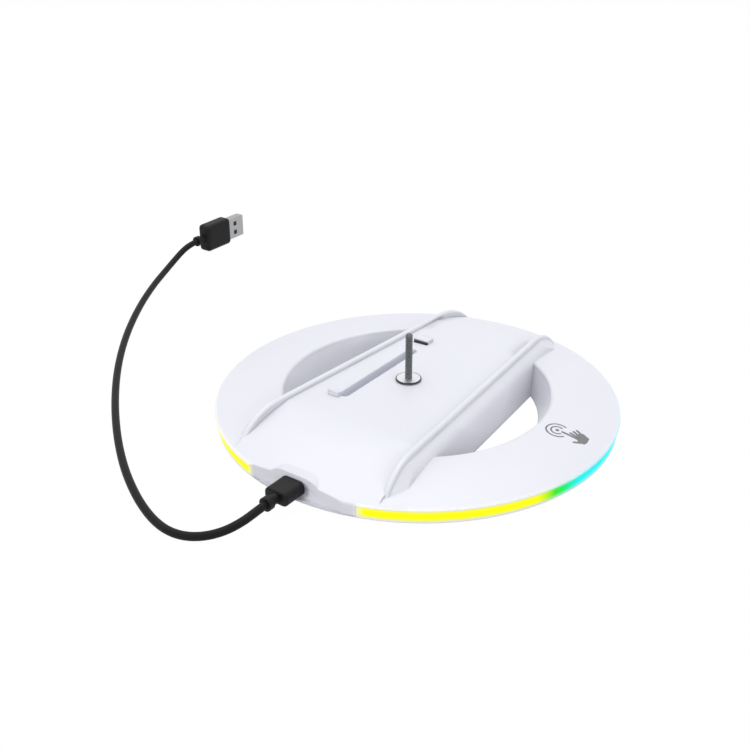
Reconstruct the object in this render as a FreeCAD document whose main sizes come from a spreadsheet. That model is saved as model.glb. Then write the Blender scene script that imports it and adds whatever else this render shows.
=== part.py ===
import FreeCAD, Part
import Sketcher
import math
import os

# Vertical console stand: a low lit disc with a tapered bridge, a captive screw and its charging lead.
# Frame: millimetres, +Z up, origin on the floor at the middle of the disc, -Y towards the charging port.

SIZES = [
    ("ground_gap", 1.0, "height of the underside above the floor"),
    ("rim_radius", 85.0, "widest radius of the disc"),
    ("rim_inset", 0.8, "how far the edges of the band and the cover lie inside the rim"),
    ("rim_height", 7.0, "height of the side wall of the disc"),
    ("rim_crease", 1.2, "rounding of the upper edge of the rim"),
    ("shell_wall", 2.0, "wall of the moulded top shell"),
    ("fit_gap", 0.15, "clearance between pieces that are assembled by hand"),
    ("seat_gap", 0.05, "gap between pieces that rest on each other"),
    ("spare", 5.0, "how far cutting shapes run past the material"),
    ("ceiling_bevel", 1.0, "bevel between the ring's ceiling and its inner wall"),
    ("ring_width", 29.0, "width of the ring from the crescent openings to the rim"),
    ("hole_draft", 4.4, "how much narrower the openings are at the bottom"),
    ("lip_height", 12.5, "height of the ring beside the openings"),
    ("lip_round", 1.4, "rounding of the edge of the openings"),
    ("dome_curve", 115.0, "radius of the crowned top of the ring"),
    ("bridge_half", 28.8, "half the distance between the rib crests at the middle"),
    ("taper_slope", 0.076, "how much each side of the bridge closes per millimetre towards the back"),
    ("flank_foot", 8.2, "foot of the bridge's side wall, outboard of the crest"),
    ("flank_shoulder", 5.0, "shoulder of the side wall, outboard of the crest"),
    ("shoulder_height", 11.8, "height of that shoulder"),
    ("shoulder_curve", 7.5, "radius of the rounding from the shoulder to the deck"),
    ("bridge_edge", 17.0, "height of the bridge's deck beside the ribs"),
    ("crown_curve", 400.0, "radius of the slightly crowned deck"),
    ("end_run", 45.0, "how far inside the rim the deck starts to fall"),
    ("end_top", 18.6, "height of the fall at its start"),
    ("end_curve", 97.4, "radius of the fall"),
    ("rib_half", 1.3, "half the thickness of a rib"),
    ("rib_round", 1.15, "rounding of a rib's crest"),
    ("rib_crest", 18.9, "height of the rib crest"),
    ("rib_foot", 8.0, "height at which the rib noses run out"),
    ("rib_front_inset", 11.5, "how far the ribs' front end lies inside the rim"),
    ("rib_front_nose", 20.0, "length of the ribs' front nose"),
    ("rib_back_inset", 5.2, "how far the ribs' rear end lies inside the rim"),
    ("rib_back_nose", 24.0, "length of the ribs' rear nose"),
    ("flank_sink", 0.4, "how far the slope of the flanks starts under the rib's crest"),
    ("flank_slope", 1.0, "fall of the flanks per millimetre away from the rib"),
    ("band_height", 4.3, "visible height of the light band"),
    ("band_depth", 2.4, "thickness of the light band"),
    ("band_left", 14.5, "angle from the port to the left end of the band, in degrees"),
    ("band_right", 18.7, "angle from the port to the right end of the band, in degrees"),
    ("cover_thickness", 1.4, "plate of the bottom cover"),
    ("cover_chamfer", 0.6, "bevel of the cover's lower edge"),
    ("fence_height", 3.2, "upright fence behind the light strip"),
    ("fence_gap", 1.2, "distance of that fence's inner face from the strip's"),
    ("fence_wall", 1.0, "thickness of that fence"),
    ("fence_margin", 6.0, "how far the fence stops short of the band's ends, in degrees"),
    ("port_inset", 3.0, "how far the flat port face lies inside the rim"),
    ("port_axis", 6.5, "height of the port above the floor"),
    ("port_top", 11.0, "height of the fairing over the port"),
    ("port_half", 5.0, "half the width of the fairing at the top"),
    ("port_foot_half", 16.5, "half the width of the fairing at its foot"),
    ("port_length", 18.0, "length of the fairing"),
    ("slot_across", -14.2, "middle of the locating slot, across the bridge"),
    ("slot_along", -7.2, "middle of the locating slot, along the bridge"),
    ("slot_width", 4.4, "width of the locating slot"),
    ("slot_length", 53.0, "length of the locating slot"),
    ("slot_depth", 9.0, "depth of the slot under the edge of the deck"),
    ("slot_wall", 1.6, "wall around the slot under the deck"),
    ("tab_across", -17.4, "middle of the front tab, across"),
    ("tab_along", -34.6, "middle of the front tab, along"),
    ("tab_width", 5.4, "width of the front tab"),
    ("tab_thickness", 1.2, "thickness of the front tab"),
    ("tab_rise", 2.8, "height of the front tab above the deck's edge"),
    ("hook_across", -15.6, "middle of the rear hook, across"),
    ("hook_along", 26.6, "front face of the rear hook, along"),
    ("hook_width", 7.4, "width of the rear hook"),
    ("hook_length", 4.2, "length of the rear hook"),
    ("hook_rise", 2.2, "height of the rear hook above the deck's edge"),
    ("hook_slit", 0.8, "slit in front of the rear hook"),
    ("screw_along", -6.4, "place of the console screw along the bridge"),
    ("screw_radius", 1.5, "radius of the console screw"),
    ("screw_stand", 20.0, "free length of the screw above its collar"),
    ("screw_tip", 0.5, "bevel of the screw's tip"),
    ("screw_clearance", 0.3, "running clearance around the screw"),
    ("screw_boss", 6.5, "radius of the boss that guides the screw"),
    ("collar_radius", 5.4, "radius of the retaining collar"),
    ("collar_thickness", 0.45, "thickness of the retaining collar"),
    ("collar_groove", 0.2, "depth of the screw's groove for the collar"),
    ("collar_play", 0.35, "room that the groove leaves under the collar"),
    ("collar_bevel", 0.15, "bevel of the collar's edge"),
    ("collar_seat", 18.65, "height of the collar's underside"),
    ("head_radius", 7.0, "radius of the screw's thumb head"),
    ("head_height", 4.0, "height of the thumb head"),
    ("head_bevel", 0.5, "bevel of the thumb head"),
    ("coin_width", 1.8, "width of the coin slot in the head"),
    ("coin_depth", 1.8, "depth of the coin slot in the head"),
    ("well_radius", 8.2, "radius of the well that holds the head"),
    ("well_wall", 1.5, "wall of that well"),
    ("well_ceiling", 8.4, "height of the well's ceiling"),
    ("foot_radius", 5.0, "radius of a rubber foot"),
    ("foot_recess", 0.5, "depth that a foot sits in the cover"),
    ("foot_bevel", 0.4, "bevel of a foot's lower edge"),
    ("foot_inset", 13.0, "how far the feet lie inside the rim"),
    ("foot_count", 6.0, "number of feet"),
    ("foot_start", 30.0, "angle of the first foot from the X axis, in degrees"),
    ("fix_inset", 17.0, "how far the four outer case screws lie inside the rim"),
    ("fix_front", 40.0, "angle of the front pair of case screws from the X axis, in degrees"),
    ("fix_back", 46.0, "angle of the rear pair of case screws from the X axis, in degrees"),
    ("fix_across", 24.0, "place of the two inner case screws across the bridge"),
    ("fix_along", 4.0, "place of the two inner case screws along the bridge"),
    ("fix_radius", 1.1, "radius of a case screw's shank"),
    ("fix_length", 7.0, "length of a case screw's shank"),
    ("fix_head", 2.1, "radius of a case screw's head"),
    ("fix_head_height", 1.3, "height of a case screw's head"),
    ("fix_boss", 3.4, "radius of a case screw's boss"),
    ("fix_floor", 1.0, "material of the cover under a case screw's head"),
    ("fix_sink", 0.3, "how deep a case screw's head lies in the cover"),
    ("board_width", 26.0, "width of the control board"),
    ("board_length", 20.0, "length of the control board"),
    ("board_thickness", 1.2, "thickness of the control board"),
    ("board_setback", 1.2, "gap between the port wall and the board"),
    ("board_hole_across", 9.5, "place of the board's screws across"),
    ("board_hole_inset", 2.8, "place of the board's screws from its rear edge"),
    ("board_boss", 2.2, "radius of the board's bosses"),
    ("board_screw", 0.9, "radius of the board's screws"),
    ("board_screw_head", 1.7, "radius of the board screws' heads"),
    ("board_screw_head_height", 1.1, "height of the board screws' heads"),
    ("chip_side", 5.0, "side of the control chip"),
    ("chip_height", 0.9, "height of the control chip"),
    ("socket_width", 8.94, "width of the charging socket"),
    ("socket_height", 3.26, "height of the charging socket"),
    ("socket_length", 7.3, "length of the charging socket"),
    ("socket_wall", 0.3, "sheet of the charging socket"),
    ("socket_setback", 0.4, "how far the socket lies behind the port face"),
    ("socket_gap", 0.3, "gap around the socket in the port wall"),
    ("tongue_width", 6.7, "width of the socket's tongue"),
    ("tongue_height", 0.7, "thickness of the socket's tongue"),
    ("tongue_length", 4.5, "length of the socket's tongue"),
    ("strip_gap", 4.0, "distance of the light strip's inner face from the band"),
    ("strip_thickness", 0.4, "thickness of the light strip"),
    ("strip_height", 3.6, "height of the light strip"),
    ("strip_margin", 1.5, "how far the strip stops short of the band's ends, in degrees"),
    ("led_count", 24.0, "number of lamps on the strip"),
    ("led_margin", 4.5, "how far the outer lamps stop short of the band's ends, in degrees"),
    ("led_width", 3.5, "width of a lamp"),
    ("led_height", 2.8, "height of a lamp"),
    ("led_depth", 1.4, "depth of a lamp"),
    ("touch_angle", 5.5, "place of the touch pad, in degrees from the X axis"),
    ("touch_span", 10.0, "angle that the touch pad covers, in degrees"),
    ("touch_offset", 3.8, "distance of the touch pad from the openings"),
    ("touch_width", 10.2, "width of the touch pad"),
    ("touch_foil", 0.3, "thickness of the touch pad"),
    ("lead_radius", 0.5, "radius of the inner leads"),
    ("lead_offset", 5.0, "distance of the touch lead from the openings"),
    ("lead_bend", 1.6, "bend of the touch lead under the pad"),
    ("lead_end", 72.0, "angle from the X axis where the touch lead turns to the board, in degrees"),
    ("lead_tail", 6.4, "straight end of the touch lead at the board"),
    ("c_plug_width", 10.8, "width of the charging plug's grip"),
    ("c_plug_height", 5.8, "height of the charging plug's grip"),
    ("c_plug_length", 10.2, "length of the charging plug's grip"),
    ("c_plug_round", 2.3, "rounding of the grip's long edges"),
    ("c_plug_end_round", 0.8, "rounding of the grip's rear end"),
    ("c_plug_gap", 0.4, "gap between the plug's grip and the port face"),
    ("c_shell_width", 8.25, "width of the plug's metal shell"),
    ("c_shell_height", 2.4, "height of the plug's metal shell"),
    ("c_shell_wall", 0.3, "sheet of the plug's metal shell"),
    ("c_shell_length", 6.0, "length of the plug's metal shell"),
    ("relief_neck", 2.15, "radius of a plug's strain relief at the grip"),
    ("relief_collar", 2.8, "radius of the collar at the strain relief's end"),
    ("relief_collar_length", 2.4, "length of that collar"),
    ("relief_length", 5.8, "length of a plug's strain relief"),
    ("cable_radius", 1.65, "radius of the lead"),
    ("a_plug_width", 15.5, "width of the supply plug's grip"),
    ("a_plug_thickness", 8.0, "thickness of the supply plug's grip"),
    ("a_plug_length", 19.5, "length of the supply plug's grip"),
    ("a_plug_round", 2.2, "rounding of the supply plug's grip"),
    ("a_shell_width", 12.0, "width of the supply plug's metal shell"),
    ("a_shell_thickness", 4.5, "thickness of the supply plug's metal shell"),
    ("a_shell_length", 12.0, "visible length of the supply plug's metal shell"),
    ("a_shell_wall", 0.35, "sheet of the supply plug's metal shell"),
    ("a_window", 2.5, "side of the latch windows"),
    ("a_window_across", 2.6, "place of the latch windows from the middle"),
    ("a_window_along", 5.2, "place of the latch windows from the grip"),
    ("a_tongue_thickness", 1.9, "thickness of the supply plug's tongue"),
    ("a_contact_count", 4.0, "number of contacts"),
    ("a_contact_width", 1.2, "width of a contact"),
    ("a_contact_thickness", 0.3, "thickness of a contact"),
    ("a_contact_length", 8.0, "length of a contact"),
    ("a_contact_pitch", 2.2, "distance between contacts"),
    ("a_plug_across", -204.4, "place of the supply plug on the floor, across"),
    ("a_plug_along", 79.4, "place of the supply plug's strain relief on the floor, along"),
]

# Route of the lead from the charging plug's strain relief to the supply plug's: across, along and lift.
# The lift is 0 where the lead lies on the floor and 1 at the height of the nearer plug's axis.
CABLE_ROUTE = [
    (0.0, -98.4, 1.0),
    (0.0, -103.6, 0.96),
    (-0.7, -109.8, 0.77),
    (-3.3, -116.0, 0.48),
    (-7.8, -121.1, 0.24),
    (-13.8, -124.4, 0.07),
    (-20.5, -125.6, 0.0),
    (-27.8, -124.8, 0.0),
    (-37.2, -121.7, 0.0),
    (-50.2, -115.4, 0.0),
    (-67.8, -104.6, 0.0),
    (-89.2, -88.4, 0.0),
    (-112.2, -68.2, 0.0),
    (-134.6, -45.6, 0.0),
    (-155.4, -21.0, 0.0),
    (-174.0, 5.0, 0.0),
    (-188.2, 28.4, 0.0),
    (-197.0, 46.2, 0.06),
    (-201.8, 58.6, 0.32),
    (-203.9, 67.2, 0.68),
    (-204.4, 73.8, 0.94),
    (-204.4, 79.4, 1.0),
]

doc = FreeCAD.newDocument("ConsoleStand")
sheet = doc.addObject("Spreadsheet::Sheet", "Sizes")


class Measure:
    """A size from the sheet, or one worked out from others, with the expression that gives it."""

    def __init__(self, value, text):
        self.value = value
        self.text = text

    def __add__(self, other):
        other = measure(other)
        return Measure(self.value + other.value, "(%s + %s)" % (self.text, other.text))

    def __sub__(self, other):
        other = measure(other)
        return Measure(self.value - other.value, "(%s - %s)" % (self.text, other.text))

    def __mul__(self, other):
        other = measure(other)
        return Measure(self.value * other.value, "(%s * %s)" % (self.text, other.text))

    def __truediv__(self, other):
        other = measure(other)
        return Measure(self.value / other.value, "(%s / %s)" % (self.text, other.text))

    def __neg__(self):
        return Measure(-self.value, "(0 - %s)" % self.text)

    def __rmul__(self, other):
        return measure(other) * self

    def __radd__(self, other):
        return measure(other) + self

    def __rsub__(self, other):
        return measure(other) - self


def measure(number):
    """Any plain number as a Measure."""
    if isinstance(number, Measure):
        return number
    return Measure(float(number), "%.6f" % number)


def fill_sheet():
    """Write the sizes into the sheet and return them by name."""
    for row, (alias, value, note) in enumerate(SIZES, start=1):
        sheet.set("A%d" % row, alias.replace("_", " "))
        sheet.set("B%d" % row, str(value))
        sheet.set("C%d" % row, note)
        sheet.setAlias("B%d" % row, alias)
    doc.recompute()
    return {alias: Measure(float(sheet.get(alias)), "Sizes.%s" % alias) for alias, value, note in SIZES}


size = fill_sheet()


def bind(thing, **sizes):
    """Tie properties of an object to the sheet."""
    for name, value in sizes.items():
        thing.setExpression(name, measure(value).text)


def place(thing, across=0.0, along=0.0, up=0.0):
    """Tie an object's place to the sheet."""
    for axis, value in (("x", across), ("y", along), ("z", up)):
        thing.setExpression("Placement.Base.%s" % axis, measure(value).text)


# Sketches


def arc_middle(start, end, radius):
    """Middle point of the arc from start to end; a positive radius has its centre on the left of travel."""
    chord = end.sub(start)
    left = FreeCAD.Vector(-chord.y, chord.x, 0).normalize()
    half = chord.Length / 2
    rise = abs(radius) - math.sqrt(max(radius * radius - half * half, 0.0))
    return (start + end) * 0.5 - left * math.copysign(rise, radius)


def draw_outline(sketch, corners):
    """Draw a closed outline; a corner's third value is the radius of the arc that leaves it."""
    points = [FreeCAD.Vector(measure(c[0]).value, measure(c[1]).value, 0) for c in corners]
    ends = []
    for index, corner in enumerate(corners):
        start, end = points[index], points[(index + 1) % len(points)]
        if len(corner) == 3:
            middle = arc_middle(start, end, measure(corner[2]).value)
            edge = sketch.addGeometry(Part.Arc(start, middle, end), False)
            first = 1 if sketch.getPoint(edge, 1).distanceToPoint(start) < 1e-4 else 2
            round_off = radius_of(corner)
            if abs(2 * round_off.value - start.distanceToPoint(end)) < 1e-4:
                sketch.addConstraint(Sketcher.Constraint("Symmetric", edge, 1, edge, 2, edge, 3))
            else:
                add_size(sketch, Sketcher.Constraint("Radius", edge, round_off.value), round_off)
        else:
            edge = sketch.addGeometry(Part.LineSegment(start, end), False)
            first = 1
        ends.append((edge, first))
    for index, corner in enumerate(corners):
        edge, first = ends[index]
        before, before_first = ends[index - 1]
        sketch.addConstraint(Sketcher.Constraint("Coincident", before, 3 - before_first, edge, first))
        pin_point(sketch, edge, first, measure(corner[0]), measure(corner[1]))


def radius_of(corner):
    """Size of a corner's arc, without its side."""
    radius = measure(corner[2])
    return radius if radius.value > 0 else -radius


def draw_circle(sketch, across, along, radius):
    """Draw a circle."""
    across, along, radius = measure(across), measure(along), measure(radius)
    centre = FreeCAD.Vector(across.value, along.value, 0)
    edge = sketch.addGeometry(Part.Circle(centre, FreeCAD.Vector(0, 0, 1), radius.value), False)
    pin_point(sketch, edge, 3, across, along)
    add_size(sketch, Sketcher.Constraint("Radius", edge, radius.value), radius)


def pin_point(sketch, edge, end, across, along):
    """Tie one point of a sketch to the sheet."""
    add_size(sketch, Sketcher.Constraint("DistanceX", -1, 1, edge, end, across.value), across)
    add_size(sketch, Sketcher.Constraint("DistanceY", -1, 1, edge, end, along.value), along)


def add_size(sketch, constraint, value):
    """Add a constraint whose size follows the sheet."""
    index = sketch.addConstraint(constraint)
    sketch.setExpression("Constraints[%d]" % index, value.text)


def stadium(across, along, width, length):
    """Outline of a slot with round ends, long along the second axis."""
    half, reach = width / 2, (length - width) / 2
    return [
        (across + half, along - reach),
        (across + half, along + reach, half),
        (across - half, along + reach),
        (across - half, along - reach, half),
    ]


def rectangle(across, along, width, length):
    """Outline of a rectangle about its middle."""
    return [
        (across - width / 2, along - length / 2),
        (across + width / 2, along - length / 2),
        (across + width / 2, along + length / 2),
        (across - width / 2, along + length / 2),
    ]


PLANES = {
    "top": FreeCAD.Rotation(),
    "front": FreeCAD.Rotation(FreeCAD.Vector(1, 0, 0), 90),
    "side": FreeCAD.Rotation(FreeCAD.Vector(1, 1, 1), 120),
}


def free_sketch(name, plane, outline):
    """Sketch of its own on the top, front or side plane."""
    sketch = doc.addObject("Sketcher::SketchObject", name)
    sketch.Placement = FreeCAD.Placement(FreeCAD.Vector(), PLANES[plane])
    draw_outline(sketch, outline)
    return sketch


# Solids


def turned(name, outline, angle=360.0, start=0.0):
    """Solid turned about Z from an outline of (radius, height), from a start angle on."""
    sketch = free_sketch(name + "_outline", "front", outline)
    solid = doc.addObject("Part::Revolution", name)
    solid.Source = sketch
    solid.Axis = FreeCAD.Vector(0, 0, 1)
    solid.Solid = True
    bind(solid, Angle=angle)
    start = measure(start)
    about_z = FreeCAD.Rotation(FreeCAD.Vector(0, 0, 1), start.value)
    solid.Placement = FreeCAD.Placement(FreeCAD.Vector(), about_z)
    return solid


def prism(name, plane, outline, length, start=0.0):
    """Solid raised from an outline: up from the top plane, backwards from the front, right from the side."""
    sketch = free_sketch(name + "_outline", plane, outline)
    solid = doc.addObject("Part::Extrusion", name)
    solid.Base = sketch
    solid.DirMode = "Custom"
    solid.Dir = {"top": (0, 0, 1), "front": (0, 1, 0), "side": (1, 0, 0)}[plane]
    solid.Solid = True
    bind(solid, LengthFwd=length)
    shift = {"top": "up", "front": "along", "side": "across"}[plane]
    place(solid, **{shift: start})
    return solid


def cylinder(name, across, along, bottom, radius, height):
    """Upright cylinder."""
    solid = doc.addObject("Part::Cylinder", name)
    bind(solid, Radius=radius, Height=height)
    place(solid, across, along, bottom)
    return solid


def joined(name, *solids):
    """Union of solids."""
    solid = doc.addObject("Part::MultiFuse", name)
    solid.Shapes = list(solids)
    return solid


def shared(name, *solids):
    """Common part of solids."""
    solid = doc.addObject("Part::MultiCommon", name)
    solid.Shapes = list(solids)
    return solid


def cut(name, base, *tools):
    """A solid less one or more others."""
    solid = doc.addObject("Part::Cut", name)
    solid.Base = base
    solid.Tool = tools[0] if len(tools) == 1 else joined(name + "_tools", *tools)
    return solid


def group(name, *solids):
    """Separate solids in one node."""
    compound = doc.addObject("Part::Compound", name)
    compound.Links = list(solids)
    return compound


NODES = []


def node(name, thing):
    """Name a finished sub-part."""
    thing.Label = name
    NODES.append(thing)
    return thing


# Bodies made feature by feature


def new_body(name):
    """Empty body of one sub-part."""
    return node(name, doc.addObject("PartDesign::Body", name + "_body"))


def body_sketch(body, role, offset=0.0):
    """Sketch on one of a body's own planes, moved along its normal."""
    sketch = body.newObject("Sketcher::SketchObject", body.Label + "_sketch")
    plane = [feature for feature in body.Origin.OriginFeatures if feature.Role == role][0]
    sketch.AttachmentSupport = [(plane, "")]
    sketch.MapMode = "FlatFace"
    sketch.setExpression("AttachmentOffset.Base.z", measure(offset).text)
    return sketch


def pad(body, role, outline, length, offset=0.0):
    """Raise an outline, or a circle given as three sizes, from one of a body's planes."""
    sketch = body_sketch(body, role, offset)
    feature = body.newObject("PartDesign::Pad", body.Label + "_pad")
    finish_profile(sketch, outline)
    feature.Profile = sketch
    bind(feature, Length=length)
    return feature


def pocket(body, role, outline, length, offset=0.0, reverse=False):
    """Sink an outline into a body, against the plane's normal or along it."""
    sketch = body_sketch(body, role, offset)
    feature = body.newObject("PartDesign::Pocket", body.Label + "_pocket")
    finish_profile(sketch, outline)
    feature.Profile = sketch
    feature.Reversed = reverse
    bind(feature, Length=length)
    return feature


def finish_profile(sketch, outline):
    """Draw an outline of corners, or a circle given as three sizes."""
    if isinstance(outline, tuple):
        draw_circle(sketch, *outline)
    else:
        draw_outline(sketch, outline)


def soften(body, kind, radius, chosen):
    """Round or bevel the edges of a body that a test chooses."""
    doc.recompute()
    base = body.Tip
    edges = ["Edge%d" % (i + 1) for i, edge in enumerate(base.Shape.Edges) if chosen(edge)]
    feature = body.newObject("PartDesign::" + kind, body.Label + "_" + kind.lower())
    feature.Base = (base, edges)
    bind(feature, **{"Radius" if kind == "Fillet" else "Size": radius})
    return feature


def level(edge, axis, value):
    """Whether an edge lies wholly at one place along an axis."""
    box = edge.BoundBox
    low, high = getattr(box, axis + "Min"), getattr(box, axis + "Max")
    return abs(low - value.value) < 1e-3 and abs(high - value.value) < 1e-3


# Heights that several pieces share

cover_top = size["ground_gap"] + size["cover_thickness"]
band_top = cover_top + size["band_height"]
rim_top = size["ground_gap"] + size["rim_height"]
rim_edge = size["rim_radius"] - size["rim_inset"]
band_inner = size["rim_radius"] - size["band_depth"]
reach = size["rim_radius"] + size["spare"]
below = -size["spare"]
hole_radius = size["rim_radius"] - size["ring_width"]
port_face = size["rim_radius"] - size["port_inset"]
inner_wall_top = hole_radius + size["shell_wall"]
wall_slope = size["hole_draft"] / (size["lip_height"] - size["lip_round"] - size["ground_gap"])
ceiling_inner = inner_wall_top + size["ceiling_bevel"]
ceiling_top = size["lip_height"] - size["shell_wall"]
inner_wall_head = ceiling_top - size["ceiling_bevel"]
port_wall_inner = port_face - size["shell_wall"]
fix_circle = size["rim_radius"] - size["fix_inset"]
foot_circle = size["rim_radius"] - size["foot_inset"]
strip_radius = band_inner - size["strip_gap"]
fence_radius = strip_radius - size["fence_gap"]
touch_inner = hole_radius + size["touch_offset"]
touch_outer = touch_inner + size["touch_width"]
lead_circle = hole_radius + size["lead_offset"]
rib_front = size["rim_radius"] - size["rib_front_inset"]
rib_back = size["rim_radius"] - size["rib_back_inset"]


def ceiling(radius):
    """Height of the ring's ceiling at a radius."""
    return band_top + (ceiling_top - band_top) * ((band_inner - radius) / (band_inner - ceiling_inner))


# Radius of the band's crowned face

half_band, crown_rise = size["band_height"] / 2, size["rim_inset"] / 2
band_crown = (half_band * half_band + crown_rise * crown_rise) / (2 * crown_rise)


# Angles of the band, counted from the X axis

BAND_START = -90 + size["band_right"]
BAND_SWEEP = 360 - size["band_right"] - size["band_left"]


# Top shell


def ring():
    """Domed ring of the shell, still solid."""
    crease, round_off = size["rim_crease"], size["lip_round"]
    return turned("ring", [
        (hole_radius - size["hole_draft"], size["ground_gap"]),
        (size["rim_radius"], size["ground_gap"]),
        (size["rim_radius"], rim_top - crease, crease),
        (size["rim_radius"] - crease, rim_top, size["dome_curve"]),
        (hole_radius + round_off, size["lip_height"], round_off),
        (hole_radius, size["lip_height"] - round_off),
    ])


def ring_hollow():
    """Space inside the ring, open below and at the light band."""
    return turned("ring_hollow", [
        (inner_wall_top - wall_slope * (inner_wall_head - below), below),
        (reach, below),
        (reach, band_top),
        (band_inner, band_top),
        (ceiling_inner, ceiling_top),
        (inner_wall_top, inner_wall_head),
    ])


def bridge_section(name, along, wall):
    """Cross-section of the bridge at a place along it, drawn in by a wall."""
    crest = size["bridge_half"] - size["taper_slope"] * along
    foot = crest + size["flank_foot"] - wall
    shoulder = crest + size["flank_shoulder"] - wall
    edge = size["bridge_edge"] - wall
    open_foot = [(-foot, below), (foot, below)] if wall.value > 0 else []
    sketch = free_sketch(name, "front", open_foot + [
        (foot, size["ground_gap"]),
        (shoulder, size["shoulder_height"] - wall, size["shoulder_curve"]),
        (crest - wall, edge, size["crown_curve"]),
        (-(crest - wall), edge, size["shoulder_curve"]),
        (-shoulder, size["shoulder_height"] - wall),
        (-foot, size["ground_gap"]),
    ])
    place(sketch, along=along)
    return sketch


def bridge_form(name, wall):
    """Tapered bridge drawn in by a wall: its deck falls to the rim, its flanks fall with the ribs."""
    beam = doc.addObject("Part::Loft", name + "_beam")
    beam.Sections = [
        bridge_section(name + "_front", -reach, wall),
        bridge_section(name + "_back", reach, wall),
    ]
    beam.Solid = True
    beam.Ruled = True
    deck = shared(name + "_deck", beam, deck_fall(name, wall), deck_plan(name))
    return joined(name, deck, flank(name + "_right", beam, wall, 1), flank(name + "_left", beam, wall, -1))


def deck_fall(name, wall):
    """Turned shape under which the deck falls to the rim."""
    rim = size["rim_radius"] - size["rim_crease"] - wall
    return turned(name + "_deck_fall", [
        (0, below),
        (rim + size["rim_crease"], below),
        (rim + size["rim_crease"], rim_top - size["rim_crease"] - wall),
        (rim, rim_top - wall, size["end_curve"]),
        (size["rim_radius"] - size["end_run"], size["end_top"] - wall),
        (0, size["end_top"] - wall),
    ])


def deck_plan(name):
    """Upright block between the two rib crests."""
    front = size["bridge_half"] + size["taper_slope"] * reach
    back = size["bridge_half"] - size["taper_slope"] * reach
    outline = [(-front, -reach), (front, -reach), (back, reach), (-back, reach)]
    return prism(name + "_deck_plan", "top", outline, reach, below)


def flank(name, beam, wall, side):
    """One flank of the bridge, which slopes away from its rib and falls with the rib's noses."""
    slope = size["flank_slope"].value
    sink = size["flank_sink"] + wall * math.sqrt(1 + slope * slope)
    slab = doc.addObject("Part::Extrusion", name + "_slab")
    slab.Base = free_sketch(name + "_side", "side", rib_outline(sink))
    slab.DirMode = "Custom"
    slab.Dir = (side, 0, -slope)
    slab.Solid = True
    bind(slab, LengthFwd=reach)
    return shared(name, beam, beside_bridge(slab, side))


def rib_outline(sink):
    """Side view of a rib, with a nose at each end, sunk under the rib's crest."""
    rise = size["rib_crest"] - size["rib_foot"]
    front_nose, back_nose = size["rib_front_nose"], size["rib_back_nose"]
    root, foot, crest = below, size["rib_foot"] - sink, size["rib_crest"] - sink
    return [
        (-rib_front, root),
        (rib_back, root),
        (rib_back, foot, (back_nose * back_nose + rise * rise) / (2 * rise)),
        (rib_back - back_nose, crest),
        (front_nose - rib_front, crest, (front_nose * front_nose + rise * rise) / (2 * rise)),
        (-rib_front, foot),
    ]


def beside_bridge(thing, side):
    """Put a thing drawn at the middle along one edge of the tapered bridge."""
    turn = math.degrees(math.atan(size["taper_slope"].value)) * side
    about_z = FreeCAD.Rotation(FreeCAD.Vector(0, 0, 1), turn)
    thing.Placement = FreeCAD.Placement(FreeCAD.Vector(side * size["bridge_half"].value, 0, 0), about_z)
    return thing


def rib(name, side):
    """Rounded fin along one edge of the bridge."""
    fin = prism(name + "_fin", "side", rib_outline(measure(0)), 2 * size["rib_half"], -size["rib_half"])
    doc.recompute()
    crest = [i + 1 for i, edge in enumerate(fin.Shape.Edges) if on_crest(edge)]
    fillet = doc.addObject("Part::Fillet", name)
    fillet.Base = fin
    round_off = size["rib_round"].value
    fillet.Edges = [(i, round_off, round_off) for i in crest]
    return beside_bridge(fillet, side)


def on_crest(edge):
    """Whether an edge runs along the top of a rib."""
    box = edge.BoundBox
    return box.ZMin > size["rib_foot"].value - 1e-3 and box.YLength > 1


def port_fairing():
    """Raised fairing over the charging port, with a flat face and S-shaped sides."""
    foot = rim_top - size["rim_crease"]
    run, rise = (size["port_foot_half"] - size["port_half"]) / 2, (size["port_top"] - foot) / 2
    sweep = (run * run + rise * rise) / (2 * rise)
    return prism("port_fairing", "front", [
        (-size["port_foot_half"], cover_top),
        (size["port_foot_half"], cover_top),
        (size["port_foot_half"], foot, -sweep),
        (size["port_half"] + run, foot + rise, sweep),
        (size["port_half"], size["port_top"]),
        (-size["port_half"], size["port_top"], sweep),
        (-(size["port_half"] + run), foot + rise, -sweep),
        (-size["port_foot_half"], foot),
    ], size["port_length"], -port_face)


def port_wall():
    """Rim wall between the two ends of the light band."""
    return turned("port_wall", [
        (port_wall_inner, cover_top),
        (size["rim_radius"], cover_top),
        (size["rim_radius"], band_top),
        (port_wall_inner, band_top),
    ], size["band_left"] + size["band_right"], BAND_START - size["band_left"] - size["band_right"])


def case_fixings():
    """Places of the six case screws."""
    places = []
    for angle in (-size["fix_front"], size["fix_back"], 180 - size["fix_back"], 180 + size["fix_front"]):
        turn = math.radians(angle.value)
        places.append((fix_circle * math.cos(turn), fix_circle * math.sin(turn)))
    places.append((size["fix_across"], size["fix_along"]))
    places.append((-size["fix_across"], size["fix_along"]))
    return places


fix_seat = size["ground_gap"] + size["fix_head_height"] + size["fix_sink"]
fix_split = fix_seat + size["fix_floor"]


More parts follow.
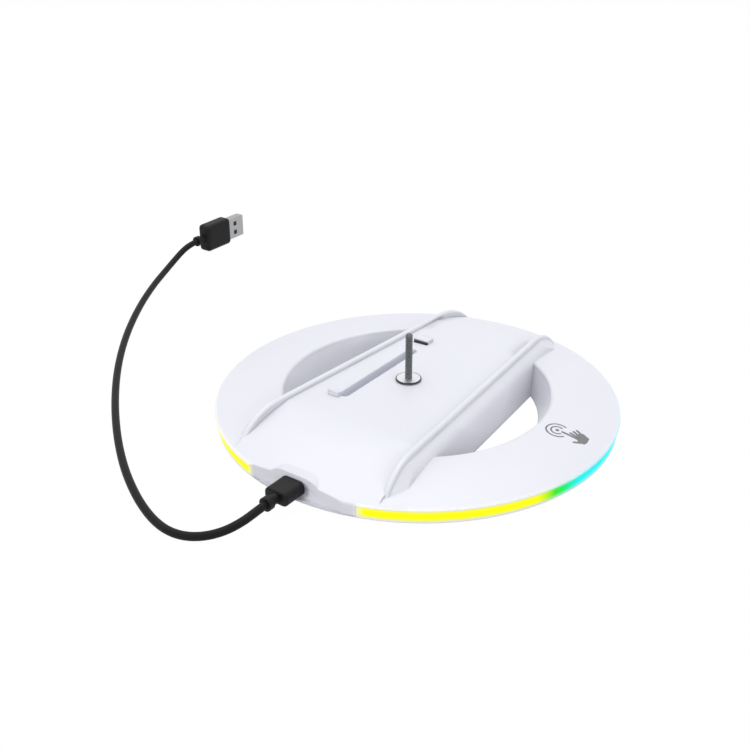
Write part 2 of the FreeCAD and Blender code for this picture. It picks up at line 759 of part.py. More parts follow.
def top_shell():
    """Moulded top shell: ring, bridge, ribs, port fairing, slot, screw boss and case bosses."""
    outer = joined("shell_outer", ring(), bridge_form("bridge", measure(0)), rib("rib_right", 1),
                   rib("rib_left", -1), port_fairing())
    hollow = cut("shell_hollow", outer, ring_hollow(), bridge_form("bridge_hollow", size["shell_wall"]))
    slot_bottom = size["bridge_edge"] - size["slot_depth"]
    slot = stadium(size["slot_across"], size["slot_along"], size["slot_width"], size["slot_length"])
    trough = stadium(size["slot_across"], size["slot_along"], size["slot_width"] + 2 * size["slot_wall"],
                     size["slot_length"] + 2 * size["slot_wall"])
    trough_bottom = slot_bottom - size["slot_wall"]
    slit = rectangle(size["hook_across"], size["hook_along"] - size["hook_slit"] / 2, size["hook_width"],
                     size["hook_slit"])
    parts = [
        hollow,
        port_wall(),
        prism("slot_trough", "top", trough, size["bridge_edge"] - trough_bottom, trough_bottom),
        cylinder("screw_boss", 0, size["screw_along"], size["ground_gap"],
                 size["well_radius"] + size["well_wall"],
                 size["well_ceiling"] + size["shell_wall"] - size["ground_gap"]),
        cylinder("screw_guide", 0, size["screw_along"], size["well_ceiling"], size["screw_boss"],
                 size["bridge_edge"] - size["well_ceiling"]),
        prism("front_tab", "top", rectangle(size["tab_across"], size["tab_along"], size["tab_width"],
                                            size["tab_thickness"]),
              size["tab_rise"] + size["shell_wall"], size["bridge_edge"] - size["shell_wall"]),
        prism("rear_hook", "top", rectangle(size["hook_across"], size["hook_along"] + size["hook_length"] / 2,
                                            size["hook_width"], size["hook_length"]),
              size["hook_rise"] + size["shell_wall"], size["bridge_edge"] - size["shell_wall"]),
    ]
    for number, (across, along) in enumerate(case_fixings()):
        top = size["bridge_edge"] if number > 3 else ceiling(fix_circle) + size["shell_wall"] / 2
        parts.append(cylinder("case_boss_%d" % number, across, along, fix_split, size["fix_boss"],
                              top - fix_split))
    cuts = [
        prism("slot_cut", "top", slot, size["slot_depth"] + size["shell_wall"] * 2, slot_bottom),
        cylinder("well_cut", 0, size["screw_along"], below, size["well_radius"],
                 size["well_ceiling"] - below),
        cylinder("screw_bore", 0, size["screw_along"], below,
                 size["screw_radius"] + size["screw_clearance"], reach),
        prism("hook_slit_cut", "top", slit, size["shell_wall"] * 3, size["bridge_edge"] - size["shell_wall"]),
        port_flat(),
        port_bay(),
        socket_hole(),
    ]
    for number, (across, along) in enumerate(case_fixings()):
        cuts.append(cylinder("case_pilot_%d" % number, across, along, below,
                             size["fix_radius"] + size["fit_gap"] / 2, fix_seat + size["fix_length"] - below))
    return node("top_shell", cut("top_shell", joined("shell_parts", *parts), *cuts))


def port_flat():
    """Everything in front of the port face."""
    return prism("port_flat", "front", rectangle(measure(0), reach / 2 + cover_top, 2 * reach, reach),
                 reach, -(port_face + reach))


def port_bay():
    """Room for the socket and the board behind the port wall."""
    half = size["board_width"] / 2 + size["board_setback"]
    return prism("port_bay", "front", [
        (-half, below),
        (half, below),
        (half, band_top),
        (size["port_half"] - size["shell_wall"], size["port_top"] - size["shell_wall"]),
        (size["shell_wall"] - size["port_half"], size["port_top"] - size["shell_wall"]),
        (-half, band_top),
    ], size["port_length"] + size["shell_wall"], -port_wall_inner)


def socket_hole():
    """Opening in the port wall around the socket."""
    width = size["socket_width"] + 2 * size["socket_gap"]
    height = size["socket_height"] + 2 * size["socket_gap"]
    return prism("socket_hole", "front", upright_stadium(width, height), size["shell_wall"] * 4,
                 -(port_face + size["shell_wall"]))


def upright_stadium(width, height):
    """Slot outline on the front plane about the port's axis, long across."""
    half, run = height / 2, (width - height) / 2
    return [
        (-run, size["port_axis"] - half),
        (run, size["port_axis"] - half, half),
        (run, size["port_axis"] + half),
        (-run, size["port_axis"] + half, half),
    ]


# Bottom cover


def bottom_cover():
    """Flat cover with the crescent openings, screw bosses, board bosses and the light strip's fence."""
    gap = size["fit_gap"]
    inner = inner_wall_top - wall_slope * (inner_wall_head - cover_top) + gap
    plate = turned("cover_ring", [
        (inner, size["ground_gap"]),
        (rim_edge - size["cover_chamfer"], size["ground_gap"]),
        (rim_edge, size["ground_gap"] + size["cover_chamfer"]),
        (rim_edge, cover_top),
        (inner, cover_top),
    ])
    flank_rise = size["shoulder_height"] - size["shell_wall"] - size["ground_gap"]
    lean = (size["flank_foot"] - size["flank_shoulder"]) * size["cover_thickness"] / flank_rise
    inset = size["flank_foot"] - size["shell_wall"] - lean - gap
    front = size["bridge_half"] + size["taper_slope"] * reach + inset
    back = size["bridge_half"] - size["taper_slope"] * reach + inset
    floor = prism("cover_floor", "top", [(-front, -reach), (front, -reach), (back, reach), (-back, reach)],
                  size["cover_thickness"], size["ground_gap"])
    disc = cylinder("cover_disc", 0, 0, size["ground_gap"], rim_edge - size["cover_chamfer"],
                    size["cover_thickness"])
    fence = turned("cover_fence", [
        (fence_radius, cover_top - gap),
        (fence_radius + size["fence_wall"], cover_top - gap),
        (fence_radius + size["fence_wall"], cover_top + size["fence_height"]),
        (fence_radius, cover_top + size["fence_height"]),
    ], BAND_SWEEP - 2 * size["fence_margin"], BAND_START + size["fence_margin"])
    parts = [plate, shared("cover_bridge", floor, disc), fence]
    well_hole = size["well_radius"] + size["well_wall"] + gap
    cuts = [cylinder("cover_well_hole", 0, size["screw_along"], below, well_hole, reach)]
    for number, (across, along) in enumerate(case_fixings()):
        parts.append(cylinder("cover_boss_%d" % number, across, along, cover_top - gap, size["fix_boss"],
                              fix_split - cover_top))
        cuts.append(cylinder("cover_sink_%d" % number, across, along, below, size["fix_head"] + 2 * gap,
                             fix_seat - below))
        cuts.append(cylinder("cover_hole_%d" % number, across, along, below, size["fix_radius"] + gap, reach))
    for number, (across, along) in enumerate(board_fixings()):
        parts.append(cylinder("board_boss_%d" % number, across, along, cover_top - gap, size["board_boss"],
                              board_bottom - cover_top + gap))
        cuts.append(cylinder("board_pilot_%d" % number, across, along, board_screw_end - gap,
                             size["board_screw"] + gap / 2, reach))
    for number, (across, along) in enumerate(foot_places()):
        cuts.append(cylinder("foot_recess_%d" % number, across, along, below, size["foot_radius"] + gap / 2,
                             size["ground_gap"] + size["foot_recess"] - below))
    return node("bottom_cover", cut("bottom_cover", joined("cover_parts", *parts), *cuts))


def foot_places():
    """Places of the feet, evenly spaced around the disc."""
    count = int(round(size["foot_count"].value))
    turns = [math.radians(size["foot_start"].value + 360.0 * number / count) for number in range(count)]
    return [(foot_circle * math.cos(turn), foot_circle * math.sin(turn)) for turn in turns]


def rubber_feet():
    """Soft feet, each seated in its recess of the cover."""
    for number, (across, along) in enumerate(foot_places(), start=1):
        foot = new_body("rubber_foot_%d" % number)
        pad(foot, "XY_Plane", (measure(0), measure(0), size["foot_radius"]),
            size["ground_gap"] + size["foot_recess"])
        soften(foot, "Chamfer", size["foot_bevel"], lambda edge: level(edge, "Z", measure(0)))
        place(foot, across, along)


# Light band, strip and lamps


def light_ring():
    """Translucent band in the rim, open at the port, with a crowned face."""
    gap = size["fit_gap"]
    return node("light_ring", turned("light_ring", [
        (band_inner + gap, cover_top),
        (rim_edge, cover_top, band_crown),
        (rim_edge, band_top),
        (band_inner + gap, band_top),
    ], BAND_SWEEP, BAND_START))


def led_strip():
    """Flexible strip that carries the lamps behind the band."""
    return node("led_strip", turned("led_strip", [
        (strip_radius, cover_top),
        (strip_radius + size["strip_thickness"], cover_top),
        (strip_radius + size["strip_thickness"], cover_top + size["strip_height"]),
        (strip_radius, cover_top + size["strip_height"]),
    ], BAND_SWEEP - 2 * size["strip_margin"], BAND_START + size["strip_margin"]))


def lamps():
    """Lamps spread evenly along the strip, facing out."""
    count = int(round(size["led_count"].value))
    start = (BAND_START + size["led_margin"]).value
    step = (BAND_SWEEP - 2 * size["led_margin"]).value / (count - 1)
    lamp_radius = (strip_radius + size["strip_thickness"] + size["seat_gap"]).value
    lamp_bottom = (cover_top + (size["strip_height"] - size["led_height"]) / 2).value
    boxes = []
    for number in range(count):
        box = doc.addObject("Part::Box", "lamp_%d" % number)
        bind(box, Length=size["led_depth"], Width=size["led_width"], Height=size["led_height"])
        turn = FreeCAD.Rotation(FreeCAD.Vector(0, 0, 1), start + step * number)
        corner = turn.multVec(FreeCAD.Vector(lamp_radius, -size["led_width"].value / 2, lamp_bottom))
        box.Placement = FreeCAD.Placement(corner, turn)
        boxes.append(box)
    return node("leds", group("leds", *boxes))


# Control board and what it carries

board_top = size["port_axis"] - size["socket_height"] / 2
board_bottom = board_top - size["board_thickness"]
board_front = -(port_wall_inner - size["board_setback"])
board_back = board_front + size["board_length"]
board_screw_end = size["ground_gap"] + size["cover_thickness"] / 2


def board_fixings():
    """Places of the board's two screws."""
    along = board_back - size["board_hole_inset"]
    return [(-size["board_hole_across"], along), (size["board_hole_across"], along)]


def control_board():
    """Board with two screw holes."""
    board = new_body("control_board")
    middle = (board_front + board_back) / 2
    outline = rectangle(measure(0), middle, size["board_width"], size["board_length"])
    pad(board, "XY_Plane", outline, size["board_thickness"], board_bottom)
    for across, along in board_fixings():
        pocket(board, "XY_Plane", (across, along, size["board_screw"] + size["fit_gap"]),
               size["board_thickness"] * 2, board_top)


def control_chip():
    """Flat control chip on the board, with a bevelled rim."""
    chip = new_body("control_chip")
    middle = board_back - size["board_length"] / 3
    chip_top = board_top + size["chip_height"]
    pad(chip, "XY_Plane", rectangle(measure(0), middle, size["chip_side"], size["chip_side"]),
        size["chip_height"], board_top)
    soften(chip, "Chamfer", size["chip_height"] / 6, lambda edge: level(edge, "Z", chip_top))


def board_screws():
    """Two small screws that hold the board to the cover."""
    screws = []
    for number, (across, along) in enumerate(board_fixings()):
        shank = cylinder("board_shank_%d" % number, across, along, board_screw_end, size["board_screw"],
                         board_top - board_screw_end)
        head = cylinder("board_head_%d" % number, across, along, board_top, size["board_screw_head"],
                        size["board_screw_head_height"])
        screws.append(joined("board_screw_%d" % number, shank, head))
    return node("board_screws", group("board_screws", *screws))


def case_screws():
    """Six screws that draw the cover to the shell from below."""
    screws = []
    for number, (across, along) in enumerate(case_fixings()):
        head = cylinder("case_head_%d" % number, across, along, fix_seat - size["fix_head_height"],
                        size["fix_head"], size["fix_head_height"])
        shank = cylinder("case_shank_%d" % number, across, along, fix_seat, size["fix_radius"],
                         size["fix_length"] - size["fit_gap"])
        screws.append(joined("case_screw_%d" % number, head, shank))
    return node("case_screws", group("case_screws", *screws))


def charging_socket():
    """Metal socket on the board's front edge, and the tongue inside it."""
    front = -(port_face - size["socket_setback"])
    back = front + size["socket_length"]
    wall = size["socket_wall"]
    outside = prism("socket_outside", "front", upright_stadium(size["socket_width"], size["socket_height"]),
                    size["socket_length"], front)
    inside = prism("socket_inside", "front",
                   upright_stadium(size["socket_width"] - 2 * wall, size["socket_height"] - 2 * wall),
                   size["socket_length"] - wall, front)
    node("usb_c_receptacle", cut("usb_c_receptacle", outside, inside))
    tongue = new_body("usb_c_tongue")
    outline = rectangle(measure(0), back - wall - size["tongue_length"] / 2, size["tongue_width"],
                        size["tongue_length"])
    pad(tongue, "XY_Plane", outline, size["tongue_height"], size["port_axis"] - size["tongue_height"] / 2)


# Touch pad and inner leads


def touch_pad():
    """Foil stuck under the ring's ceiling, below the touch mark."""
    gap, foil = size["fit_gap"] / 2, size["touch_foil"]
    inner, outer = touch_inner, touch_outer
    return node("touch_pad", turned("touch_pad", [
        (inner, ceiling(inner) - gap - foil),
        (outer, ceiling(outer) - gap - foil),
        (outer, ceiling(outer) - gap),
        (inner, ceiling(inner) - gap),
    ], size["touch_span"], size["touch_angle"] - size["touch_span"] / 2))


def tube(radius, path):
    """Round tube along a path of straight runs and arcs; raises an error if its volume is not right."""
    wire = Part.Wire(path)
    start = path[0].firstVertex().Point if path[0].Orientation == "Forward" else path[0].lastVertex().Point
    direction = path[0].tangentAt(path[0].FirstParameter)
    ring_edge = Part.Wire([Part.makeCircle(radius, start, direction)])
    solid = wire.makePipeShell([ring_edge], True, False)
    expected = math.pi * radius * radius * wire.Length
    if abs(solid.Volume - expected) > 0.02 * expected:
        raise ValueError("tube volume %.2f is not %.2f" % (solid.Volume, expected))
    return solid


def around(radius, angle, height):
    """Point at an angle around the middle."""
    turn = math.radians(angle)
    return FreeCAD.Vector(radius * math.cos(turn), radius * math.sin(turn), height)


def touch_lead():
    """Lead from the touch pad down to the cover, along the ring and under the board's edge."""
    radius, circle, bend = size["lead_radius"].value, lead_circle.value, size["lead_bend"].value
    start_angle, end_angle = size["touch_angle"].value, -size["lead_end"].value
    low = cover_top.value + radius + size["seat_gap"].value
    high = (ceiling(lead_circle) - size["fit_gap"] - size["touch_foil"]).value
    bottom = around(circle, start_angle, low)
    ahead = around(1.0, start_angle - 90, 0)
    corner = bottom - ahead * bend
    rise = FreeCAD.Vector(0, 0, bend)
    knee = corner + ahead * (bend * (1 - math.sqrt(0.5))) + rise * (1 - math.sqrt(0.5))
    finish = around(circle, end_angle, low)
    tail = finish + around(1.0, end_angle - 90, 0) * size["lead_tail"].value
    path = [
        Part.LineSegment(FreeCAD.Vector(corner.x, corner.y, high), corner + rise).toShape(),
        Part.Arc(corner + rise, knee, bottom).toShape(),
        Part.Arc(bottom, around(circle, (start_angle + end_angle) / 2, low), finish).toShape(),
        Part.LineSegment(finish, tail).toShape(),
    ]
    lead = doc.addObject("Part::Feature", "touch_lead")
    lead.Shape = tube(radius, path)
    return node("touch_lead", lead)


def led_lead():
    """Short lead from the end of the light strip to the board."""
    radius = size["lead_radius"].value
    low = cover_top.value + radius + size["seat_gap"].value
    edge = (BAND_START + size["led_margin"]).value
    start = around(strip_radius.value - radius, edge, low)
    inside_edge = size["board_width"].value / 2 - 2 * radius
    end = FreeCAD.Vector(inside_edge, start.y + size["board_setback"].value, low)
    lead = doc.addObject("Part::Feature", "led_lead")
    lead.Shape = tube(radius, [Part.LineSegment(start, end).toShape()])
    return node("led_lead", lead)


# Console screw

collar_top = size["collar_seat"] + size["collar_thickness"]


def clamp_screw():
    """Captive screw with a thumb head below the bridge and a coin slot in it."""
    head_top = size["well_ceiling"] - size["screw_clearance"]
    head_bottom = head_top - size["head_height"]
    tip = collar_top + size["screw_stand"]
    bevel = size["head_bevel"]
    screw = new_body("clamp_screw")
    sketch = body_sketch(screw, "XZ_Plane")
    draw_outline(sketch, [
        (0, head_bottom),
        (size["head_radius"] - bevel, head_bottom),
        (size["head_radius"], head_bottom + bevel),
        (size["head_radius"], head_top - bevel),
        (size["head_radius"] - bevel, head_top),
        (size["screw_radius"], head_top),
        (size["screw_radius"], size["collar_seat"] - size["collar_play"]),
        (size["screw_radius"] - size["collar_groove"], size["collar_seat"] - size["collar_play"]),
        (size["screw_radius"] - size["collar_groove"], collar_top),
        (size["screw_radius"], collar_top),
        (size["screw_radius"], tip - size["screw_tip"]),
        (size["screw_radius"] - size["screw_tip"], tip),
        (0, tip),
    ])
    turn = screw.newObject("PartDesign::Revolution", "clamp_screw_turned")
    turn.Profile = sketch
    turn.ReferenceAxis = (sketch, ["V_Axis"])
    turn.Angle = 360
    doc.recompute()
    slot = rectangle(measure(0), measure(0), size["coin_width"], 3 * size["head_radius"])
    pocket(screw, "XY_Plane", slot, size["coin_depth"], head_bottom, True)
    place(screw, 0, size["screw_along"])


def screw_collar():
    """Retaining collar snapped into the screw's groove, just above the deck."""
    collar = new_body("screw_collar")
    pad(collar, "XY_Plane", (measure(0), measure(0), size["collar_radius"]), size["collar_thickness"],
        size["collar_seat"])
    soften(collar, "Chamfer", size["collar_bevel"], lambda edge: level(edge, "Z", collar_top))
    bore = size["screw_radius"] - size["collar_groove"] + size["seat_gap"]
    pocket(collar, "XY_Plane", (measure(0), measure(0), bore), size["collar_thickness"] * 3,
           collar_top + size["collar_thickness"])
    place(collar, 0, size["screw_along"])


# Charging lead with its two plugs

c_grip_front = -(port_face + size["c_plug_gap"])
c_grip_back = c_grip_front - size["c_plug_length"]
a_axis = size["a_plug_width"] / 2


def strain_relief(body, across, along, up):
    """Round neck and collar behind a plug's grip, along Y."""
    sketch = body_sketch(body, "YZ_Plane", across)
    end = along - size["relief_length"]
    step = end + size["relief_collar_length"]
    draw_outline(sketch, [
        (along + size["relief_neck"], up),
        (end, up),
        (end, up + size["relief_collar"]),
        (step, up + size["relief_collar"]),
        (step, up + size["relief_neck"]),
        (along + size["relief_neck"], up + size["relief_neck"]),
    ])
    turn = body.newObject("PartDesign::Revolution", body.Label + "_relief")
    turn.Profile = sketch
    turn.ReferenceAxis = (sketch, ["Edge1"])
    turn.Angle = 360


def c_plug():
    """Plug at the port: moulded grip with its strain relief, and the metal shell that enters the socket."""
    grip = new_body("usb_c_plug_body")
    outline = [(x, y + size["port_axis"]) for x, y in rectangle(measure(0), measure(0), size["c_plug_width"],
                                                               size["c_plug_height"])]
    pad(grip, "XZ_Plane", outline, size["c_plug_length"], -c_grip_front)
    half = size["c_plug_length"].value / 2
    soften(grip, "Fillet", size["c_plug_round"], lambda edge: edge.BoundBox.YLength > half)
    soften(grip, "Fillet", size["c_plug_end_round"], lambda edge: level(edge, "Y", c_grip_back))
    strain_relief(grip, 0, c_grip_back, size["port_axis"])
    wall = size["c_shell_wall"]
    outside = prism("plug_shell_outside", "front",
                    upright_stadium(size["c_shell_width"], size["c_shell_height"]),
                    size["c_shell_length"], c_grip_front)
    inside = prism("plug_shell_inside", "front",
                   upright_stadium(size["c_shell_width"] - 2 * wall, size["c_shell_height"] - 2 * wall),
                   size["c_shell_length"], c_grip_front + wall)
    node("usb_c_plug_shell", cut("usb_c_plug_shell", outside, inside))


def a_outline(across, up, thickness, width):
    """Upright rectangle on the front plane, about the supply plug's axis."""
    return [(size["a_plug_across"] + across + x, a_axis + up + y)
            for x, y in rectangle(measure(0), measure(0), thickness, width)]


def a_plug():
    """Supply plug lying on its narrow edge: grip, metal shell, tongue and four contacts."""
    grip_start = size["a_plug_along"] + size["relief_length"]
    grip_end = grip_start + size["a_plug_length"]
    wall = size["a_shell_wall"]
    grip = new_body("usb_a_plug_body")
    pad(grip, "XZ_Plane", a_outline(0, 0, size["a_plug_thickness"], size["a_plug_width"]),
        size["a_plug_length"], -grip_end)
    soften(grip, "Fillet", size["a_plug_round"], lambda edge: True)
    strain_relief(grip, size["a_plug_across"], grip_start, a_axis)
    outside = prism("a_shell_outside", "front",
                    a_outline(0, 0, size["a_shell_thickness"], size["a_shell_width"]),
                    size["a_shell_length"], grip_end)
    inside = prism("a_shell_inside", "front",
                   a_outline(0, 0, size["a_shell_thickness"] - 2 * wall, size["a_shell_width"] - 2 * wall),
                   size["a_shell_length"], grip_end)
    windows = []
    for number, side in enumerate((-1, 1)):
        outline = [
            (grip_end + size["a_window_along"] + x, a_axis + side * size["a_window_across"] + y)
            for x, y in rectangle(measure(0), measure(0), size["a_window"], size["a_window"])
        ]
        windows.append(prism("a_window_%d" % number, "side", outline, 2 * size["a_shell_thickness"],
                             size["a_plug_across"] - size["a_shell_thickness"]))
    node("usb_a_shell", cut("usb_a_shell", outside, inside, *windows))
    shift = (size["a_shell_thickness"] - size["a_tongue_thickness"]) / 2 - wall - size["seat_gap"]
    tongue = new_body("usb_a_tongue")
    tongue_width = size["a_shell_width"] - 2 * wall - size["fit_gap"]
    tongue_length = size["a_shell_length"] - size["a_contact_thickness"]
    pad(tongue, "XZ_Plane", a_outline(shift, 0, size["a_tongue_thickness"], tongue_width), tongue_length,
        -(grip_end + tongue_length))
    face = shift - size["a_tongue_thickness"] / 2 - size["a_contact_thickness"] / 2
    contacts = []
    contact_start = grip_end + size["a_shell_length"] - size["a_contact_length"] - size["a_contact_width"]
    count = int(round(size["a_contact_count"].value))
    for number in range(count):
        up = size["a_contact_pitch"] * (number - (count - 1) / 2)
        contacts.append(prism("contact_%d" % number, "front",
                              a_outline(face, up, size["a_contact_thickness"], size["a_contact_width"]),
                              size["a_contact_length"], contact_start))
    node("usb_a_contacts", group("usb_a_contacts", *contacts))


def cable_points():
    """Points of the lead, drawn out evenly when either plug is moved."""
    first = FreeCAD.Vector(0, (c_grip_back - size["relief_length"]).value, 0)
    last = FreeCAD.Vector(size["a_plug_across"].value, size["a_plug_along"].value, 0)
    plan = [FreeCAD.Vector(across, along, 0) for across, along, lift in CABLE_ROUTE]
    drawn_out = (last - first) - (plan[-1] - plan[0])
    floor = size["cable_radius"].value
    points = []
    for number, (across, along, lift) in enumerate(CABLE_ROUTE):
        share = number / (len(CABLE_ROUTE) - 1)
        axis = size["port_axis"] if share < 0.5 else a_axis
        point = plan[number] + (first - plan[0]) + drawn_out * share
        point.z = floor + lift * (axis.value - floor)
        points.append(point)
    return points


def cable_path(points):
    """Straight runs joined by arcs that start 0.45 of the shorter run back from each corner."""
    path, radii, start = [], [], points[0]
    for before, corner, after in zip(points, points[1:], points[2:]):
        back, ahead = (before - corner), (after - corner)
        setback = 0.45 * min(back.Length, ahead.Length)
        back.normalize()
        ahead.normalize()
        enter, leave = corner + back * setback, corner + ahead * setback
        half_turn = (math.pi - back.getAngle(ahead)) / 2
        radius = setback / math.tan(half_turn)
        inward = (back + ahead).normalize()
        middle = corner + inward * (radius / math.cos(half_turn) - radius)
        path.append(Part.LineSegment(start, enter).toShape())
        path.append(Part.Arc(enter, middle, leave).toShape())
        radii.append(radius)
        start = leave
    path.append(Part.LineSegment(start, points[-1]).toShape())
    return path, radii


def usb_cable():
    """Free lead from one strain relief to the other."""
    path, radii = cable_path(cable_points())
    print("lead radii:", " ".join("%.1f" % radius for radius in radii))
    print("lead length: %.1f" % Part.Wire(path).Length)
    lead = doc.addObject("Part::Feature", "usb_cable")
    lead.Shape = tube(size["cable_radius"].value, path)
    return node("usb_cable", lead)


def check_document():
    """Stop if any object failed or any sub-part is not a sound solid."""
    failed = [thing.Name for thing in doc.Objects if {"Invalid", "Error"} & set(thing.State)]
    if failed:
        raise RuntimeError("failed objects: %s" % ", ".join(failed))
    for thing in NODES:
        if thing.Shape.isNull() or not thing.Shape.isValid() or not thing.Shape.Solids:
            raise RuntimeError("bad shape: %s" % thing.Label)


def main():
    """Build every sub-part, check the document and write the files."""
    top_shell()
    bottom_cover()
    rubber_feet()
    light_ring()
    led_strip()
    lamps()
    control_board()
    control_chip()
    board_screws()
    case_screws()
    charging_socket()
    touch_pad()
    touch_lead()
    led_lead()
    clamp_screw()
    screw_collar()
    c_plug()
    a_plug()
    usb_cable()
    doc.recompute()
    check_document()
    os.makedirs("parts", exist_ok=True)
    for thing in NODES:
        thing.Shape.exportStep(os.path.join("parts", thing.Label + ".step"))


main()
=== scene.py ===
"""Looks of the vertical console stand: finishes, charging lead, screw thread, touch mark and studio."""

import logging
import math
from dataclasses import dataclass, field
from enum import Enum
from typing import Any, Iterable, Sequence, Union

import bmesh
import bpy
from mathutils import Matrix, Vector


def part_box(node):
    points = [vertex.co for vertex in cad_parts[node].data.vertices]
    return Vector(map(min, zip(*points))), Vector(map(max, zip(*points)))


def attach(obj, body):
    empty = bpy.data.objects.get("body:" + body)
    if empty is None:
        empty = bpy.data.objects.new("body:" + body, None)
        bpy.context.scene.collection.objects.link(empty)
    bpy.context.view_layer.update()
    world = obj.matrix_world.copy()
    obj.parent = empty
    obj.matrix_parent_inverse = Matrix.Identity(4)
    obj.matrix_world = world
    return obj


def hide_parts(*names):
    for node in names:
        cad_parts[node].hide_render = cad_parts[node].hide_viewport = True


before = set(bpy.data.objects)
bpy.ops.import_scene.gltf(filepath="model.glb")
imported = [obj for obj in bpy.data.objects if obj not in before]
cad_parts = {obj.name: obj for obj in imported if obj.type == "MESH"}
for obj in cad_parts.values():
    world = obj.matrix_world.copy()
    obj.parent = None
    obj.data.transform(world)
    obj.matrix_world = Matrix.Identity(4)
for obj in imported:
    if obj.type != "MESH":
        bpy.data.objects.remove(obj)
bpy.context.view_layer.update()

LOG = logging.getLogger("console_stand")
MM = 0.001
IMAGE_SIDE = 750
HALF_TURN = 180.0
FULL_TURN = 360.0
BEVEL_SAMPLES = 6
OPENNESS_SAMPLES = 8

Colour = tuple[float, float, float]
Point = tuple[float, float, float]
Number = Union[int, float]

BLACK: Colour = (0.0, 0.0, 0.0)
WHITE: Colour = (1.0, 1.0, 1.0)
UP = Vector((0.0, 0.0, 1.0))
SCREW_ACROSS = 0.0 * MM
SCREW_ALONG = -6.4 * MM


def dimmed(colour: Colour, share: float) -> Colour:
    """A colour, darker by a share."""
    return tuple(channel * (1 - share) for channel in colour)


def clamped(value: float) -> float:
    """The value, kept between 0 and 1."""
    return min(max(value, 0.0), 1.0)


class Body(Enum):
    """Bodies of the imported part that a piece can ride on."""

    STAND = "stand"
    CLAMP = "clamp"


class Socket:
    """Output of a shader node; arithmetic on it adds Math nodes."""

    def __init__(self, shading: "Shading", link: bpy.types.NodeSocket) -> None:
        """Wrap one output.

        Args:
            shading: The node tree that holds the output.
            link: The output itself.
        """
        self.shading = shading
        self.link = link

    def math(self, operation: str, *values: "Operand") -> "Socket":
        """Add one Math node.

        Args:
            operation: Blender's name of the operation.
            values: Operands in order.

        Returns:
            The result.
        """
        made = self.shading.node("ShaderNodeMath", {"operation": operation}, dict(enumerate(values)))
        return Socket(self.shading, made.outputs[0])

    def __add__(self, other: "Operand") -> "Socket":
        """Sum."""
        return self.math("ADD", self, other)

    def __radd__(self, other: "Operand") -> "Socket":
        """Sum with a number first."""
        return self.math("ADD", other, self)

    def __sub__(self, other: "Operand") -> "Socket":
        """Difference."""
        return self.math("SUBTRACT", self, other)

    def __rsub__(self, other: "Operand") -> "Socket":
        """Difference from a number."""
        return self.math("SUBTRACT", other, self)

    def __mul__(self, other: "Operand") -> "Socket":
        """Product."""
        return self.math("MULTIPLY", self, other)

    def __rmul__(self, other: "Operand") -> "Socket":
        """Product with a number first."""
        return self.math("MULTIPLY", other, self)

    def __truediv__(self, other: "Operand") -> "Socket":
        """Quotient."""
        return self.math("DIVIDE", self, other)

    def __abs__(self) -> "Socket":
        """Size without its sign."""
        return self.math("ABSOLUTE", self)

    def reach(self, other: "Socket") -> "Socket":
        """Length of the flat vector that this and the other value make."""
        return self.math("SQRT", self * self + other * other)

    def larger(self, other: "Operand") -> "Socket":
        """The larger of two values."""
        return self.math("MAXIMUM", self, other)

    def about(self, base: float, spread: float) -> "Socket":
        """Values from 0 to 1, spread evenly about a base."""
        return base + spread * (self - 0.5)

    def eased(self, low: Number, high: Number) -> "Socket":
        """Smooth step from 0 at low to 1 at high."""
        made = self.shading.node(
            "ShaderNodeMapRange",
            {"interpolation_type": "SMOOTHSTEP"},
            {"Value": self, "From Min": low, "From Max": high},
        )
        return Socket(self.shading, made.outputs[0])

    def between(self, low: Number, high: Number, soft: Number) -> "Socket":
        """1 from low to high, 0 elsewhere, with soft ends."""
        return self.past(low, soft) * (1 - self.past(high, soft))

    def past(self, limit: Number, soft: Number) -> "Socket":
        """0 below a limit, 1 above it, with a soft step."""
        return self.eased(limit - soft, limit + soft)


Operand = Union[Socket, Number]
Tone = Union[Socket, Colour]


